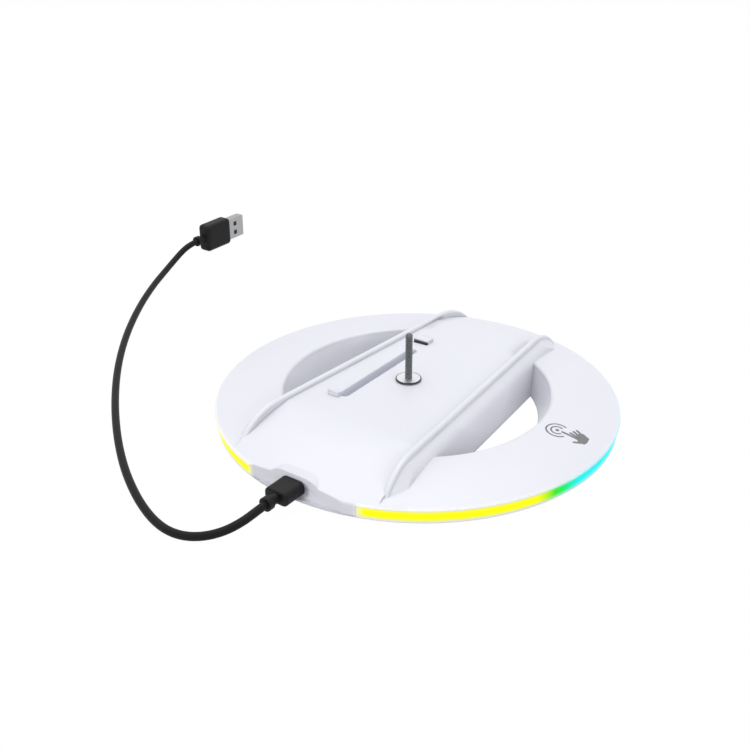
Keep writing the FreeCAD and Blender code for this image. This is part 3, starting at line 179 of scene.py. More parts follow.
class Shading:
    """Node tree of a material or of the world."""

    def __init__(self, tree: bpy.types.NodeTree) -> None:
        """Start from an empty tree.

        Args:
            tree: The tree to fill.
        """
        self.tree = tree
        self.tree.nodes.clear()

    def node(self, kind: str, settings: dict[str, Any] | None = None,
             inputs: dict[Any, Any] | None = None) -> bpy.types.Node:
        """Add any node.

        Args:
            kind: Blender's type name.
            settings: Properties, set first; "stops" fills a ramp with positions and colours.
            inputs: Values or links of the sockets, by name or place.

        Returns:
            The new node.
        """
        made = self.tree.nodes.new(kind)
        for name, value in (settings or {}).items():
            if name == "stops":
                self._fill_ramp(made, value)
            else:
                setattr(made, name, value)
        for name, value in (inputs or {}).items():
            if isinstance(value, Socket):
                self.tree.links.new(value.link, made.inputs[name])
            else:
                made.inputs[name].default_value = value
        return made

    @staticmethod
    def _fill_ramp(ramp: bpy.types.Node, stops: Sequence[tuple[float, Colour]]) -> None:
        """Give a ramp its stops, in rising order."""
        elements = ramp.color_ramp.elements
        while len(elements) < len(stops):
            elements.new(1.0)
        for element, (position, colour) in zip(elements, stops):
            element.position = position
            element.color = (*colour, 1.0)

    def out(self, made: bpy.types.Node, name: Union[str, int] = 0) -> Socket:
        """One output of a node."""
        return Socket(self, made.outputs[name])

    def place(self) -> Socket:
        """Place on the piece, in metres in the part's frame."""
        return self.out(self.node("ShaderNodeTexCoord"), "Object")

    def split(self, vector: Socket) -> tuple[Socket, Socket, Socket]:
        """The three parts of a vector."""
        made = self.node("ShaderNodeSeparateXYZ", {}, {0: vector})
        return self.out(made, 0), self.out(made, 1), self.out(made, 2)

    def noise(self, size: float, detail: float = 2.0, stretch: Point = (1.0, 1.0, 1.0)) -> Socket:
        """Soft random value from 0 to 1.

        Args:
            size: Size of one patch, in metres.
            detail: How many finer layers it has.
            stretch: How much closer the patches lie along each axis.

        Returns:
            The value.
        """
        scaled = self.node("ShaderNodeMapping", {}, {"Vector": self.place(), "Scale": stretch})
        inputs = {"Vector": self.out(scaled), "Scale": 1.0 / size, "Detail": detail}
        return self.out(self.node("ShaderNodeTexNoise", {}, inputs))

    def openness(self, reach: float) -> Socket:
        """1 on open faces, less in corners and hollows narrower than the reach, in metres."""
        settings = {"samples": OPENNESS_SAMPLES, "only_local": True}
        return self.out(self.node("ShaderNodeAmbientOcclusion", settings, {"Distance": reach}), "AO")

    def blend(self, share: Operand, first: Tone, second: Tone) -> Socket:
        """Colour between two others.

        Args:
            share: 0 for the first, 1 for the second.
            first: One colour.
            second: The other colour.

        Returns:
            The mixed colour.
        """
        # A Mix node has sockets of the same name for each data type, so they are given by place.
        inputs = {0: share, 6: self._rgba(first), 7: self._rgba(second)}
        return self.out(self.node("ShaderNodeMix", {"data_type": "RGBA"}, inputs), 2)

    def mix(self, share: Socket, first: bpy.types.Node, second: bpy.types.Node) -> Socket:
        """Shader between two others, 0 for the first and 1 for the second."""
        inputs = {0: share, 1: self.out(first), 2: self.out(second)}
        return self.out(self.node("ShaderNodeMixShader", {}, inputs))

    @staticmethod
    def _rgba(colour: Tone) -> Any:
        """A plain colour with its alpha, or the link unchanged."""
        return colour if isinstance(colour, Socket) else (*colour, 1.0)


class Surface(Shading):
    """Material with one physically based shader."""

    def __init__(self, name: str, **constants: Any) -> None:
        """Make the material.

        Args:
            name: Name of the finish.
            constants: Sockets of the shader that are the same all over; an underscore stands for a space.
        """
        self.material = bpy.data.materials.new(name)
        self.material.use_nodes = True
        super().__init__(self.material.node_tree)
        self.shader = self.node("ShaderNodeBsdfPrincipled")
        self.node("ShaderNodeOutputMaterial", {}, {"Surface": self.out(self.shader)})
        for socket, value in constants.items():
            self.shader.inputs[socket.replace("_", " ")].default_value = value

    def feed(self, socket: str, value: Socket) -> None:
        """Link a varying value to a socket of the shader."""
        self.tree.links.new(value.link, self.shader.inputs[socket])

    def rounded(self, radius: float) -> Socket:
        """Normals that soften the edges, by a radius in metres."""
        return self.out(self.node("ShaderNodeBevel", {"samples": BEVEL_SAMPLES}, {"Radius": radius}))

    def between_normals(self, share: Socket, first: Socket, second: Socket) -> Socket:
        """Normals between two others."""
        inputs = {0: share, 4: first, 5: second}
        mixed = self.out(self.node("ShaderNodeMix", {"data_type": "VECTOR"}, inputs), 1)
        return self.out(self.node("ShaderNodeVectorMath", {"operation": "NORMALIZE"}, {0: mixed}))

    def relief(self, height: Socket, depth: float, base: Socket | None = None) -> None:
        """Give the surface fine relief.

        Args:
            height: Varying height from 0 to 1.
            depth: Depth of the relief, in metres.
            base: Normals that it is laid on; without them, the mesh's own.
        """
        inputs: dict[str, Any] = {"Height": height, "Distance": depth, "Strength": 1.0}
        if base is not None:
            inputs["Normal"] = base
        self.feed("Normal", self.out(self.node("ShaderNodeBump", {}, inputs)))


# Finishes, with all lengths in metres


@dataclass(frozen=True)
class MouldedPlastic:
    """Moulded plastic or rubber with faint clouding, uneven gloss and a fine mould texture."""

    name: str
    colour: Colour
    cloud: float = 28 * MM
    cloud_detail: float = 3.0
    clouding: float = 0.03
    roughness: float = 0.45
    unevenness: float = 0.08
    patch: float = 9 * MM
    grain: float = 0.4 * MM
    grain_detail: float = 1.0
    grain_depth: float = 0.004 * MM
    edge: float = 0.0
    specular: float = 0.5
    # How much shade is painted into hollows, and how far the painted shade reaches.
    painted_hollow_shade: float = 0.0
    painted_hollow_shade_reach: float = 16 * MM

    def make(self) -> bpy.types.Material:
        """Material of this plastic."""
        return self.mould().material

    def mould(self) -> Surface:
        """Surface of this plastic."""
        surface = Surface(self.name, Specular_IOR_Level=self.specular)
        surface.feed("Base Color", self.tint(surface))
        surface.feed("Roughness", surface.noise(self.patch).about(self.roughness, self.unevenness))
        surface.relief(surface.noise(self.grain, self.grain_detail), self.grain_depth, self.normals(surface))
        return surface

    def tint(self, surface: Surface) -> Socket:
        """Clouded colour, with painted shade darkening it in corners and hollows."""
        clouds = surface.noise(self.cloud, self.cloud_detail)
        tone = surface.blend(clouds, self.colour, dimmed(self.colour, self.clouding))
        # Painted shade: the colour is darkened where ambient occlusion finds corners and hollows.
        if self.painted_hollow_shade > 0:
            tone = surface.blend(surface.openness(self.painted_hollow_shade_reach), dimmed(self.colour, self.painted_hollow_shade), tone)
        return tone

    def normals(self, surface: Surface) -> Socket | None:
        """Normals with softened edges, where the plastic has them."""
        return surface.rounded(self.edge) if self.edge > 0 else None


@dataclass(frozen=True)
class TurnedSteel:
    """Bare or plated steel with fine turning lines about an upright axis."""

    name: str
    colour: Colour
    roughness: float = 0.28
    unevenness: float = 0.12
    patch: float = 1.5 * MM
    line: float = 0.12 * MM
    line_depth: float = 0.003 * MM
    line_shade: float = 0.2
    squeeze: float = 20.0
    stretch: float = 0.4

    def make(self) -> bpy.types.Material:
        """Material of this steel."""
        surface = Surface(self.name, Metallic=1.0)
        closeness = (self.stretch, self.stretch, self.squeeze)
        lines = surface.noise(self.line * self.squeeze, stretch=closeness)
        surface.feed("Base Color", surface.blend(lines, self.colour, dimmed(self.colour, self.line_shade)))
        surface.feed("Roughness", surface.noise(self.patch).about(self.roughness, self.unevenness))
        surface.relief(lines, self.line_depth)
        return surface.material


@dataclass(frozen=True)
class WasherSteel:
    """Polished washer: bright flat top, and painted shade and dark reflection round its rim."""

    name: str
    top: Colour
    # Colour painted as shade and dark reflection round the rim, not the steel's own colour.
    edge: Colour
    centre: tuple[float, float]
    border: float
    border_blur: float = 0.15 * MM
    fleck: float = 0.8 * MM
    fleck_shade: float = 0.3
    roughness: float = 0.4
    unevenness: float = 0.1

    def make(self) -> bpy.types.Material:
        """Material of the washer."""
        surface = Surface(self.name, Metallic=1.0)
        across, along, _ = surface.split(surface.place())
        reach = (across - self.centre[0]).reach(along - self.centre[1])
        flecks = surface.noise(self.fleck)
        # Painted shade: the border round the top is dark in place of the shade and dark reflection on the
        # rim.
        painted_shade_border = surface.blend(flecks, self.edge, dimmed(self.edge, self.fleck_shade))
        surface.feed("Base Color", surface.blend(reach.past(self.border, self.border_blur), self.top, painted_shade_border))
        surface.feed("Roughness", flecks.about(self.roughness, self.unevenness))
        return surface.material


@dataclass(frozen=True)
class PlatedSheet:
    """Thin plated sheet metal, faintly brushed along the plug."""

    name: str
    colour: Colour
    roughness: float = 0.3
    unevenness: float = 0.15
    patch: float = 3 * MM
    brush: float = 0.25 * MM
    brush_detail: float = 3.0
    brush_stretch: Point = (1.0, 0.05, 1.0)
    brush_depth: float = 0.003 * MM
    brush_shade: float = 0.14
    edge: float = 0.25 * MM

    def make(self) -> bpy.types.Material:
        """Material of this sheet."""
        surface = Surface(self.name, Metallic=1.0)
        lines = surface.noise(self.brush, self.brush_detail, self.brush_stretch)
        surface.feed("Base Color", surface.blend(lines, self.colour, dimmed(self.colour, self.brush_shade)))
        surface.feed("Roughness", surface.noise(self.patch).about(self.roughness, self.unevenness))
        surface.relief(lines, self.brush_depth, surface.rounded(self.edge))
        return surface.material


class LampTone(Enum):
    """Cyan, mint, green and yellow of the lamps.

    CENTRE is their light in the middle of the band, BORDER at its borders, BESIDE the painted glow beside it.
    """

    CENTRE = ((0.0, 0.86, 0.84), (0.0, 0.84, 0.10), (0.03, 0.80, 0.01), (0.95, 0.95, 0.0))
    BORDER = ((0.08, 0.90, 0.92), (0.08, 0.87, 0.28), (0.14, 0.88, 0.08), (0.90, 0.92, 0.08))
    BESIDE = ((0.1, 0.85, 0.95), (0.2, 0.9, 0.6), (0.4, 0.9, 0.3), (0.95, 0.95, 0.5))


@dataclass(frozen=True)
class LampRing:
    """Light of the lamps round the rim, mirrored at the back and open at the port; angles are in degrees."""

    middle_angle: float = 92.15
    colour_angles: Sequence[float] = (102.0, 108.2, 111.2, 116.5)
    port_start: float = 162.5
    port_end: float = 164.5

    def away(self, across: Socket, along: Socket) -> Socket:
        """Angle from the back."""
        angle = across.math("ARCTAN2", along, across) * (HALF_TURN / math.pi)
        return abs(angle.math("WRAP", angle - self.middle_angle, HALF_TURN, -HALF_TURN))

    def colour(self, away: Socket, tone: LampTone) -> Socket:
        """Colour of the lamps at an angle from the back."""
        stops = [(angle / HALF_TURN, shade) for angle, shade in zip(self.colour_angles, tone.value)]
        ramp = away.shading.node("ShaderNodeValToRGB", {"stops": stops}, {"Fac": away / HALF_TURN})
        return away.shading.out(ramp)

    def beside(self, away: Socket) -> Socket:
        """1 where the band is, 0 at the port."""
        return 1 - away.eased(self.port_start, self.port_end)


LAMPS = LampRing()


@dataclass(frozen=True)
class LitPlastic(MouldedPlastic):
    """Moulded plastic at the rim, with the lamps' light painted on it as a faint glow beside the band."""

    # Strength of the glow painted beside the band, and the radii and heights where it is painted.
    painted_glow: float = 0.3
    rim_inner: float = 83.2 * MM
    rim_outer: float = 84.6 * MM
    painted_glow_low: float = 7.0 * MM
    painted_glow_high: float = 8.3 * MM

    def mould(self) -> Surface:
        """Surface of this plastic with the lamps' light painted on it as glow."""
        surface = super().mould()
        across, along, up = surface.split(surface.place())
        away = LAMPS.away(across, along)
        rim = across.reach(along).eased(self.rim_inner, self.rim_outer)
        near = rim * (1 - up.eased(self.painted_glow_low, self.painted_glow_high))
        # Painted light: the plastic beside the band glows in the lamps' colours, though it is no lamp.
        glow = surface.blend(near * LAMPS.beside(away), BLACK, LAMPS.colour(away, LampTone.BESIDE))
        surface.feed("Emission Color", glow)
        surface.shader.inputs["Emission Strength"].default_value = self.painted_glow
        return surface


@dataclass(frozen=True)
class ShellPlastic(LitPlastic):
    """Top shell plastic, softly bent where the deck falls, with painted shadow in the rear hook's gap."""

    bend_radius: float = 9 * MM
    bend_reach: tuple[float, float] = (46 * MM, 62 * MM)
    bend_blur: float = 3 * MM
    bend_half: float = 22 * MM
    bend_fade: float = 4 * MM
    # Dark colour painted as shadow in the rear hook's gap, and the box where it is painted.
    painted_shadow_colour: Colour = (0.07, 0.07, 0.075)
    painted_shadow_across: tuple[float, float] = (-19.3 * MM, -11.9 * MM)
    painted_shadow_along: tuple[float, float] = (25.7 * MM, 26.7 * MM)
    painted_shadow_top: float = 18.7 * MM
    slot_across: tuple[float, float] = (-16.5 * MM, -11.9 * MM)
    slot_along: tuple[float, float] = (-33.8 * MM, 19.4 * MM)
    blur: float = 0.1 * MM
    painted_shadow_blur: float = 0.03 * MM

    def tint(self, surface: Surface) -> Socket:
        """The colour, plain in the slot, with painted shadow in the rear hook's gap."""
        across, along, up = surface.split(surface.place())
        # The slot keeps the plain colour, without clouds or the painted hollow shade.
        slot = across.between(*self.slot_across, self.blur) * along.between(*self.slot_along, self.blur)
        # Painted shadow: the rear hook's gap is coloured dark where only shade falls.
        painted_shadow = across.between(*self.painted_shadow_across, self.blur) * along.between(*self.painted_shadow_along, self.painted_shadow_blur)
        below = 1 - up.past(self.painted_shadow_top, self.blur)
        plain = surface.blend(slot, super().tint(surface), self.colour)
        return surface.blend(painted_shadow * below, plain, self.painted_shadow_colour)

    def normals(self, surface: Surface) -> Socket:
        """Softened edges, and one smooth bend where the deck starts to fall."""
        across, along, _ = surface.split(surface.place())
        beside = abs(across).eased(self.bend_half, self.bend_half + self.bend_fade)
        bend = across.reach(along).between(*self.bend_reach, self.bend_blur) * (1 - beside)
        return surface.between_normals(bend, super().normals(surface), surface.rounded(self.bend_radius))


@dataclass(frozen=True)
class LitBand:
    """Translucent band lit from inside, its colours changing round the rim."""

    name: str
    low: float = 2.4 * MM
    high: float = 6.7 * MM
    strength: float = 0.95
    specular: float = 0.04
    roughness: float = 0.3
    unevenness: float = 0.1
    ripple: float = 2.5 * MM
    milk: float = 0.01
    border_start: float = 0.25
    border_full: float = 0.95
    end_start: float = 161.4
    end_stop: float = 163.8
    end_tone: Colour = (0.78, 0.78, 0.6)
    unlit: Colour = (0.01, 0.01, 0.01)
    unlit_share: float = 0.85

    def make(self) -> bpy.types.Material:
        """Material of the band."""
        surface = Surface(self.name, Specular_IOR_Level=self.specular, Emission_Strength=self.strength)
        across, along, up = surface.split(surface.place())
        away = LAMPS.away(across, along)
        centre, border = LAMPS.colour(away, LampTone.CENTRE), LAMPS.colour(away, LampTone.BORDER)
        middle, half = (self.low + self.high) / 2, (self.high - self.low) / 2
        outward = (abs(up - middle) / half).eased(self.border_start, self.border_full)
        ends = away.eased(self.end_start, self.end_stop)
        glow = surface.blend(ends, surface.blend(outward, centre, border), self.end_tone)
        ripples = surface.noise(self.ripple)
        surface.feed("Emission Color", surface.blend(self.milk * ripples, glow, WHITE))
        surface.feed("Base Color", surface.blend(self.unlit_share, glow, self.unlit))
        surface.feed("Roughness", self.roughness + self.unevenness * ripples)
        return surface.material


@dataclass(frozen=True)
class CircuitBoard:
    """Solder resist over copper traces."""

    name: str
    resist: Colour
    trace: Colour
    coat: float = 0.3
    roughness: float = 0.35
    unevenness: float = 0.15
    patch: float = 4 * MM
    trace_scale: float = 220.0
    trace_shift: float = 0.35
    trace_width: float = 0.03
    trace_blur: float = 0.2
    trace_height: float = 0.02 * MM

    def make(self) -> bpy.types.Material:
        """Material of the board."""
        surface = Surface(self.name, Coat_Weight=self.coat)
        bricks = surface.node("ShaderNodeTexBrick", {"offset": self.trace_shift}, {
            "Vector": surface.place(),
            "Scale": self.trace_scale,
            "Mortar Size": self.trace_width,
            "Mortar Smooth": self.trace_blur,
        })
        traces = surface.out(bricks, "Fac")
        surface.feed("Base Color", surface.blend(traces, self.resist, self.trace))
        surface.feed("Roughness", self.roughness + self.unevenness * surface.noise(self.patch))
        surface.relief(traces, self.trace_height)
        return surface.material


# The shell and the cover get painted shade in their hollows.
SHELL_WHITE = ShellPlastic("shell_white", (0.88, 0.885, 0.95), clouding=0.02, roughness=0.42, edge=1.0 * MM,
                           painted_hollow_shade=0.4)
COVER_WHITE = LitPlastic("cover_white", (0.82, 0.83, 0.88), clouding=0.04, roughness=0.6,
                         grain_depth=0.012 * MM, edge=0.25 * MM, painted_hollow_shade=0.15)
BAND_LIGHT = LitBand("band_light")
FOOT_RUBBER = MouldedPlastic("foot_rubber", (0.035, 0.035, 0.037), clouding=0.3, roughness=0.8,
                             grain=0.25 * MM, grain_depth=0.02 * MM, specular=0.3)
LEAD_RUBBER = MouldedPlastic("lead_rubber", (0.012, 0.012, 0.013), clouding=0.2, roughness=0.5,
                             grain=0.2 * MM, grain_depth=0.002 * MM, specular=0.12)
PLUG_BLACK = MouldedPlastic("plug_black", (0.014, 0.014, 0.015), clouding=0.25, roughness=0.48,
                            grain=0.22 * MM, grain_depth=0.006 * MM, edge=0.35 * MM, specular=0.16)
CHIP_BLACK = MouldedPlastic("chip_black", (0.02, 0.02, 0.022), clouding=0.3, roughness=0.6)
STRIP_WHITE = MouldedPlastic("strip_white", (0.82, 0.82, 0.80), clouding=0.08)
LAMP_LENS = MouldedPlastic("lamp_lens", (0.9, 0.88, 0.7), clouding=0.1, roughness=0.2)
MARK_INK = MouldedPlastic("mark_ink", (0.24, 0.24, 0.25), clouding=0.2, roughness=0.55)
SCREW_STEEL = TurnedSteel("screw_steel", (0.17, 0.175, 0.185))
FASTENER_STEEL = TurnedSteel("fastener_steel", (0.5, 0.51, 0.53))
# The collar's second colour is painted shade round its rim.
COLLAR_STEEL = WasherSteel("collar_steel", (0.7, 0.705, 0.74), (0.05, 0.05, 0.055),
                           centre=(SCREW_ACROSS, SCREW_ALONG), border=4.95 * MM)
PLUG_METAL = PlatedSheet("plug_metal", (0.42, 0.425, 0.435))
COPPER_FOIL = PlatedSheet("copper_foil", (0.72, 0.38, 0.22))
CONTACT_GOLD = PlatedSheet("contact_gold", (0.85, 0.6, 0.25), roughness=0.2)
BOARD_GREEN = CircuitBoard("board_green", (0.02, 0.14, 0.06), (0.05, 0.24, 0.11))

Finish = Union[MouldedPlastic, TurnedSteel, WasherSteel, PlatedSheet, LitBand, CircuitBoard]


class Paintshop:
    """Makes each finish once and puts it on pieces."""

    def __init__(self) -> None:
        """Start with no finish made."""
        self._made: dict[str, bpy.types.Material] = {}

    def paint(self, piece: bpy.types.Object, finish: Finish) -> None:
        """Give a piece one finish.

        Args:
            piece: Object with mesh or curve data.
            finish: The finish that it gets.
        """
        if finish.name not in self._made:
            self._made[finish.name] = finish.make()
        piece.data.materials.clear()
        piece.data.materials.append(self._made[finish.name])

    def paint_node(self, node: str, finish: Finish) -> None:
        """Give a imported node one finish."""
        self.paint(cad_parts[node], finish)
        LOG.info("dressed %s in %s", node, finish.name)


def add_piece(name: str, data: Union[bpy.types.Mesh, bpy.types.Curve], body: Body) -> bpy.types.Object:
    """Put a new piece into the scene.

    Args:
        name: Name of the piece.
        data: Its mesh or curve.
        body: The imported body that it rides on.

    Returns:
        The object.
    """
    piece = bpy.data.objects.new(name, data)
    bpy.context.scene.collection.objects.link(piece)
    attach(piece, body.value)
    LOG.info("built %s", name)
    return piece


def in_metres(points: Iterable[Point]) -> list[Vector]:
    """Points given in millimetres, in metres."""
    return [Vector(point) * MM for point in points]


# Camera and studio, with places in millimetres, sides in metres and angles in degrees


@dataclass(frozen=True)
class SoftLamp:
    """Square lamp that faces the stand; its power is in watts, and it shows in reflections if mirrored."""

    name: str
    power: float
    side: float
    place: Point
    mirrored: bool = True

    def build(self) -> None:
        """Put the lamp into the scene."""
        light = bpy.data.lights.new(self.name, "AREA")
        light.energy = self.power
        light.size = self.side
        lamp = bpy.data.objects.new(self.name, light)
        lamp.location = Vector(self.place) * MM
        lamp.rotation_mode = "QUATERNION"
        lamp.rotation_quaternion = (-lamp.location).to_track_quat("-Z", "Y")
        lamp.visible_glossy = self.mirrored
        bpy.context.scene.collection.objects.link(lamp)


@dataclass
class Studio:
    """Camera at the photograph's angle, pale floor and soft light."""

    azimuth: float = 35.625
    elevation: float = 27.587
    distance: float = 478.77
    target: Point = (-22.819, 1.527, 10.0)
    focal_pixels: float = 1100.0
    sensor: float = 36.0
    floor_side: float = 6.0
    sky: float = 0.5
    sky_tone: Colour = (0.97, 0.98, 1.0)
    floor_tone: Colour = (0.25, 0.25, 0.26)
    floor_glow: float = 1.09
    floor_glow_share: float = 0.9
    lamps: Sequence[SoftLamp] = (
        SoftLamp("key", power=4.6, side=0.9, place=(-150.0, 120.0, 900.0)),
        SoftLamp("front_fill", power=2.0, side=0.1, place=(-120.0, -850.0, 50.0), mirrored=False),
        SoftLamp("right_fill", power=1.4, side=0.5, place=(800.0, -100.0, 220.0), mirrored=False),
    )

    def place_camera(self) -> None:
        """Set up the camera."""
        turn, rise = math.radians(self.azimuth), math.radians(self.elevation)
        back = Vector((math.sin(turn) * math.cos(rise), -math.cos(turn) * math.cos(rise), math.sin(rise)))
        lens = bpy.data.cameras.new("camera")
        lens.sensor_width = self.sensor
        lens.lens = self.focal_pixels / IMAGE_SIDE * self.sensor
        camera = bpy.data.objects.new("camera", lens)
        camera.location = (Vector(self.target) + back * self.distance) * MM
        camera.rotation_mode = "QUATERNION"
        camera.rotation_quaternion = (-back).to_track_quat("-Z", "Y")
        bpy.context.scene.collection.objects.link(camera)
        bpy.context.scene.camera = camera

    def build(self) -> None:
        """Make the floor, the sky and the lamps."""
        bpy.context.scene.view_settings.view_transform = "Standard"
        self._floor()
        self._sky()
        for lamp in self.lamps:
            lamp.build()
        LOG.info("built studio")

    def _floor(self) -> None:
        """Pale floor that the camera sees almost white, with the object's soft shadow."""
        mesh = bpy.data.meshes.new("floor")
        half = self.floor_side / 2
        corners = [(-half, -half, 0), (half, -half, 0), (half, half, 0), (-half, half, 0)]
        mesh.from_pydata(corners, [], [range(len(corners))])
        floor = bpy.data.objects.new("floor", mesh)
        bpy.context.scene.collection.objects.link(floor)
        material = bpy.data.materials.new("floor_white")
        material.use_nodes = True
        shading = Shading(material.node_tree)
        matt = shading.node("ShaderNodeBsdfDiffuse", {}, {"Color": (*self.floor_tone, 1.0)})
        bright = shading.node("ShaderNodeEmission", {}, {"Color": (*WHITE, 1.0), "Strength": self.floor_glow})
        share = self._seen(shading) * self.floor_glow_share
        shading.node("ShaderNodeOutputMaterial", {}, {"Surface": shading.mix(share, matt, bright)})
        mesh.materials.append(material)

    def _sky(self) -> None:
        """Even light from all round, white where it is seen directly or in a reflection."""
        world = bpy.data.worlds.new("studio")
        world.use_nodes = True
        bpy.context.scene.world = world
        shading = Shading(world.node_tree)
        lit = shading.node("ShaderNodeBackground", {}, {"Color": (*self.sky_tone, 1.0), "Strength": self.sky})
        white = shading.node("ShaderNodeBackground", {}, {"Color": (*WHITE, 1.0), "Strength": 1.0})
        shading.node("ShaderNodeOutputWorld", {}, {"Surface": shading.mix(self._seen(shading), lit, white)})

    @staticmethod
    def _seen(shading: Shading) -> Socket:
        """1 where a ray comes from the camera, a reflection or through glass."""
        path = shading.node("ShaderNodeLightPath")
        direct, mirrored = shading.out(path, "Is Camera Ray"), shading.out(path, "Is Glossy Ray")
        return direct.larger(mirrored).larger(shading.out(path, "Is Transmission Ray"))


# Charging lead, in millimetres


@dataclass
class ChargingLead:
    """Black lead on the floor with its two plugs.

    The curve's points have a small radius of their own, because the curve's box counts it.
    """

    paintshop: Paintshop
    radius: float = 1.65
    point_radius: float = 0.001
    length: float = 325.0
    route: Sequence[Point] = (
        (0.0, -98.4, 6.5),
        (0.0, -103.6, 6.3),
        (-0.7, -109.8, 5.38),
        (-3.3, -116.0, 3.98),
        (-7.8, -121.1, 2.81),
        (-13.8, -124.4, 1.99),
        (-20.5, -125.6, 1.65),
        (-27.8, -124.8, 1.65),
        (-37.2, -121.7, 1.65),
        (-50.2, -115.4, 1.65),
        (-67.8, -104.6, 1.65),
        (-89.2, -88.4, 1.65),
        (-112.2, -68.2, 1.65),
        (-134.6, -45.6, 1.65),
        (-155.4, -21.0, 1.65),
        (-174.0, 5.0, 1.65),
        (-188.2, 28.4, 1.65),
        (-197.0, 46.2, 2.02),
        (-201.8, 58.6, 3.6),
        (-203.9, 67.2, 5.8),
        (-204.4, 73.8, 7.38),
        (-204.4, 79.4, 7.75),
    )
    order: int = 3
    steps: int = 10
    roundness: int = 7
    port_nodes: dict[str, Finish] = field(default_factory=lambda: {
        "usb_c_plug_body": PLUG_BLACK,
        "usb_c_plug_shell": PLUG_METAL,
    })
    plug_nodes: dict[str, Finish] = field(default_factory=lambda: {
        "usb_a_plug_body": PLUG_BLACK,
        "usb_a_shell": PLUG_METAL,
        "usb_a_tongue": CHIP_BLACK,
        "usb_a_contacts": CONTACT_GOLD,
    })

    def build(self) -> None:
        """Lay the lead and dress its plugs."""
        self._lay()
        for node, finish in (self.port_nodes | self.plug_nodes).items():
            self.paintshop.paint_node(node, finish)

    def _lay(self) -> None:
        """Smooth round lead along its route."""
        curve = bpy.data.curves.new("charging_lead", "CURVE")
        curve.dimensions = "3D"
        points = in_metres(self.route)
        spline = curve.splines.new("NURBS")
        spline.points.add(len(points) - 1)
        for control, point in zip(spline.points, points):
            control.co = (*point, 1.0)
            control.radius = self.point_radius
        spline.order_u = self.order
        spline.use_endpoint_u = True
        spline.resolution_u = self.steps
        curve.bevel_depth = self.radius * MM / self.point_radius
        curve.bevel_resolution = self.roundness
        curve.use_fill_caps = True
        lead = add_piece("charging_lead", curve, Body.STAND)
        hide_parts("usb_cable")
        self.paintshop.paint(lead, LEAD_RUBBER)


# Console screw, in millimetres


@dataclass
class ConsoleScrew:
    """Captive steel screw with a cut thread, and the collar round its foot."""

    paintshop: Paintshop
    across: float = SCREW_ACROSS / MM
    along: float = SCREW_ALONG / MM
    radius: float = 1.5
    root: float = 1.24
    pitch: float = 0.6
    flat: float = 1 / 6
    plain_foot: float = 1.2
    tip_bevel: float = 0.5
    rows_per_turn: int = 12
    near: float = 0.01
    turn_digits: int = 3

    def build(self) -> None:
        """Cut the thread and dress the screw and its collar."""
        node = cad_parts["clamp_screw"]
        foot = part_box("screw_collar")[1].z / MM
        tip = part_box("clamp_screw")[1].z / MM
        mesh = bmesh.new()
        mesh.from_mesh(node.data)
        above = [vertex for vertex in mesh.verts if vertex.co.z / MM > foot + self.near]
        bmesh.ops.delete(mesh, geom=above, context="VERTS")
        self._thread(mesh, foot, tip)
        data = bpy.data.meshes.new("console_screw")
        mesh.to_mesh(data)
        mesh.free()
        screw = add_piece("console_screw", data, Body.CLAMP)
        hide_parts("clamp_screw")
        self.paintshop.paint(screw, SCREW_STEEL)
        self.paintshop.paint_node("screw_collar", COLLAR_STEEL)

    def _thread(self, mesh: bmesh.types.BMesh, foot: float, tip: float) -> None:
        """Add the threaded length above the collar.

        Args:
            mesh: Mesh that gets the new faces.
            foot: Height of its lower end, in millimetres.
            tip: Height of its upper end, in millimetres.
        """
        count = int((tip - foot) / self.pitch * self.rows_per_turn)
        turns = self._foot_turns(mesh, foot)
        rings = []
        for row in range(count + 1):
            height = foot + (tip - foot) * row / count
            rings.append([mesh.verts.new(self._on_thread(height, turn, foot, tip)) for turn in turns])
        for lower, upper in zip(rings, rings[1:]):
            for side, after in zip(range(-1, len(turns)), range(len(turns))):
                face = mesh.faces.new((lower[side], lower[after], upper[after], upper[side]))
                face.smooth = True
        mesh.faces.new(rings[-1])

    def _foot_turns(self, mesh: bmesh.types.BMesh, foot: float) -> list[float]:
        """Angles of the foot's upper edge, which the thread continues, in rising order."""
        turns: dict[float, float] = {}
        for vertex in mesh.verts:
            x, y, z = vertex.co / MM - Vector((self.across, self.along, 0.0))
            if abs(z - foot) < self.near and abs(math.hypot(x, y) - self.radius) < self.near:
                turn = math.atan2(y, x) % math.tau
                key = round(turn, self.turn_digits) % round(math.tau, self.turn_digits)
                turns.setdefault(key, turn)
        return sorted(turns.values())

    def _on_thread(self, height: float, turn: float, foot: float, tip: float) -> Vector:
        """Point of the thread at a height and angle, in metres."""
        wave = abs(2 * ((height / self.pitch - turn / math.tau) % 1.0) - 1)
        crest = clamped((wave - self.flat) / (1 - 2 * self.flat))
        cut = clamped((height - foot - self.plain_foot) / self.pitch)
        radius = self.radius - (self.radius - self.root) * (1 - crest) * cut
        radius = min(radius, self.radius - self.tip_bevel + (tip - height))
        x, y = self.across + radius * math.cos(turn), self.along + radius * math.sin(turn)
        return Vector((x, y, height)) * MM


# Touch mark, in millimetres, with angles in degrees


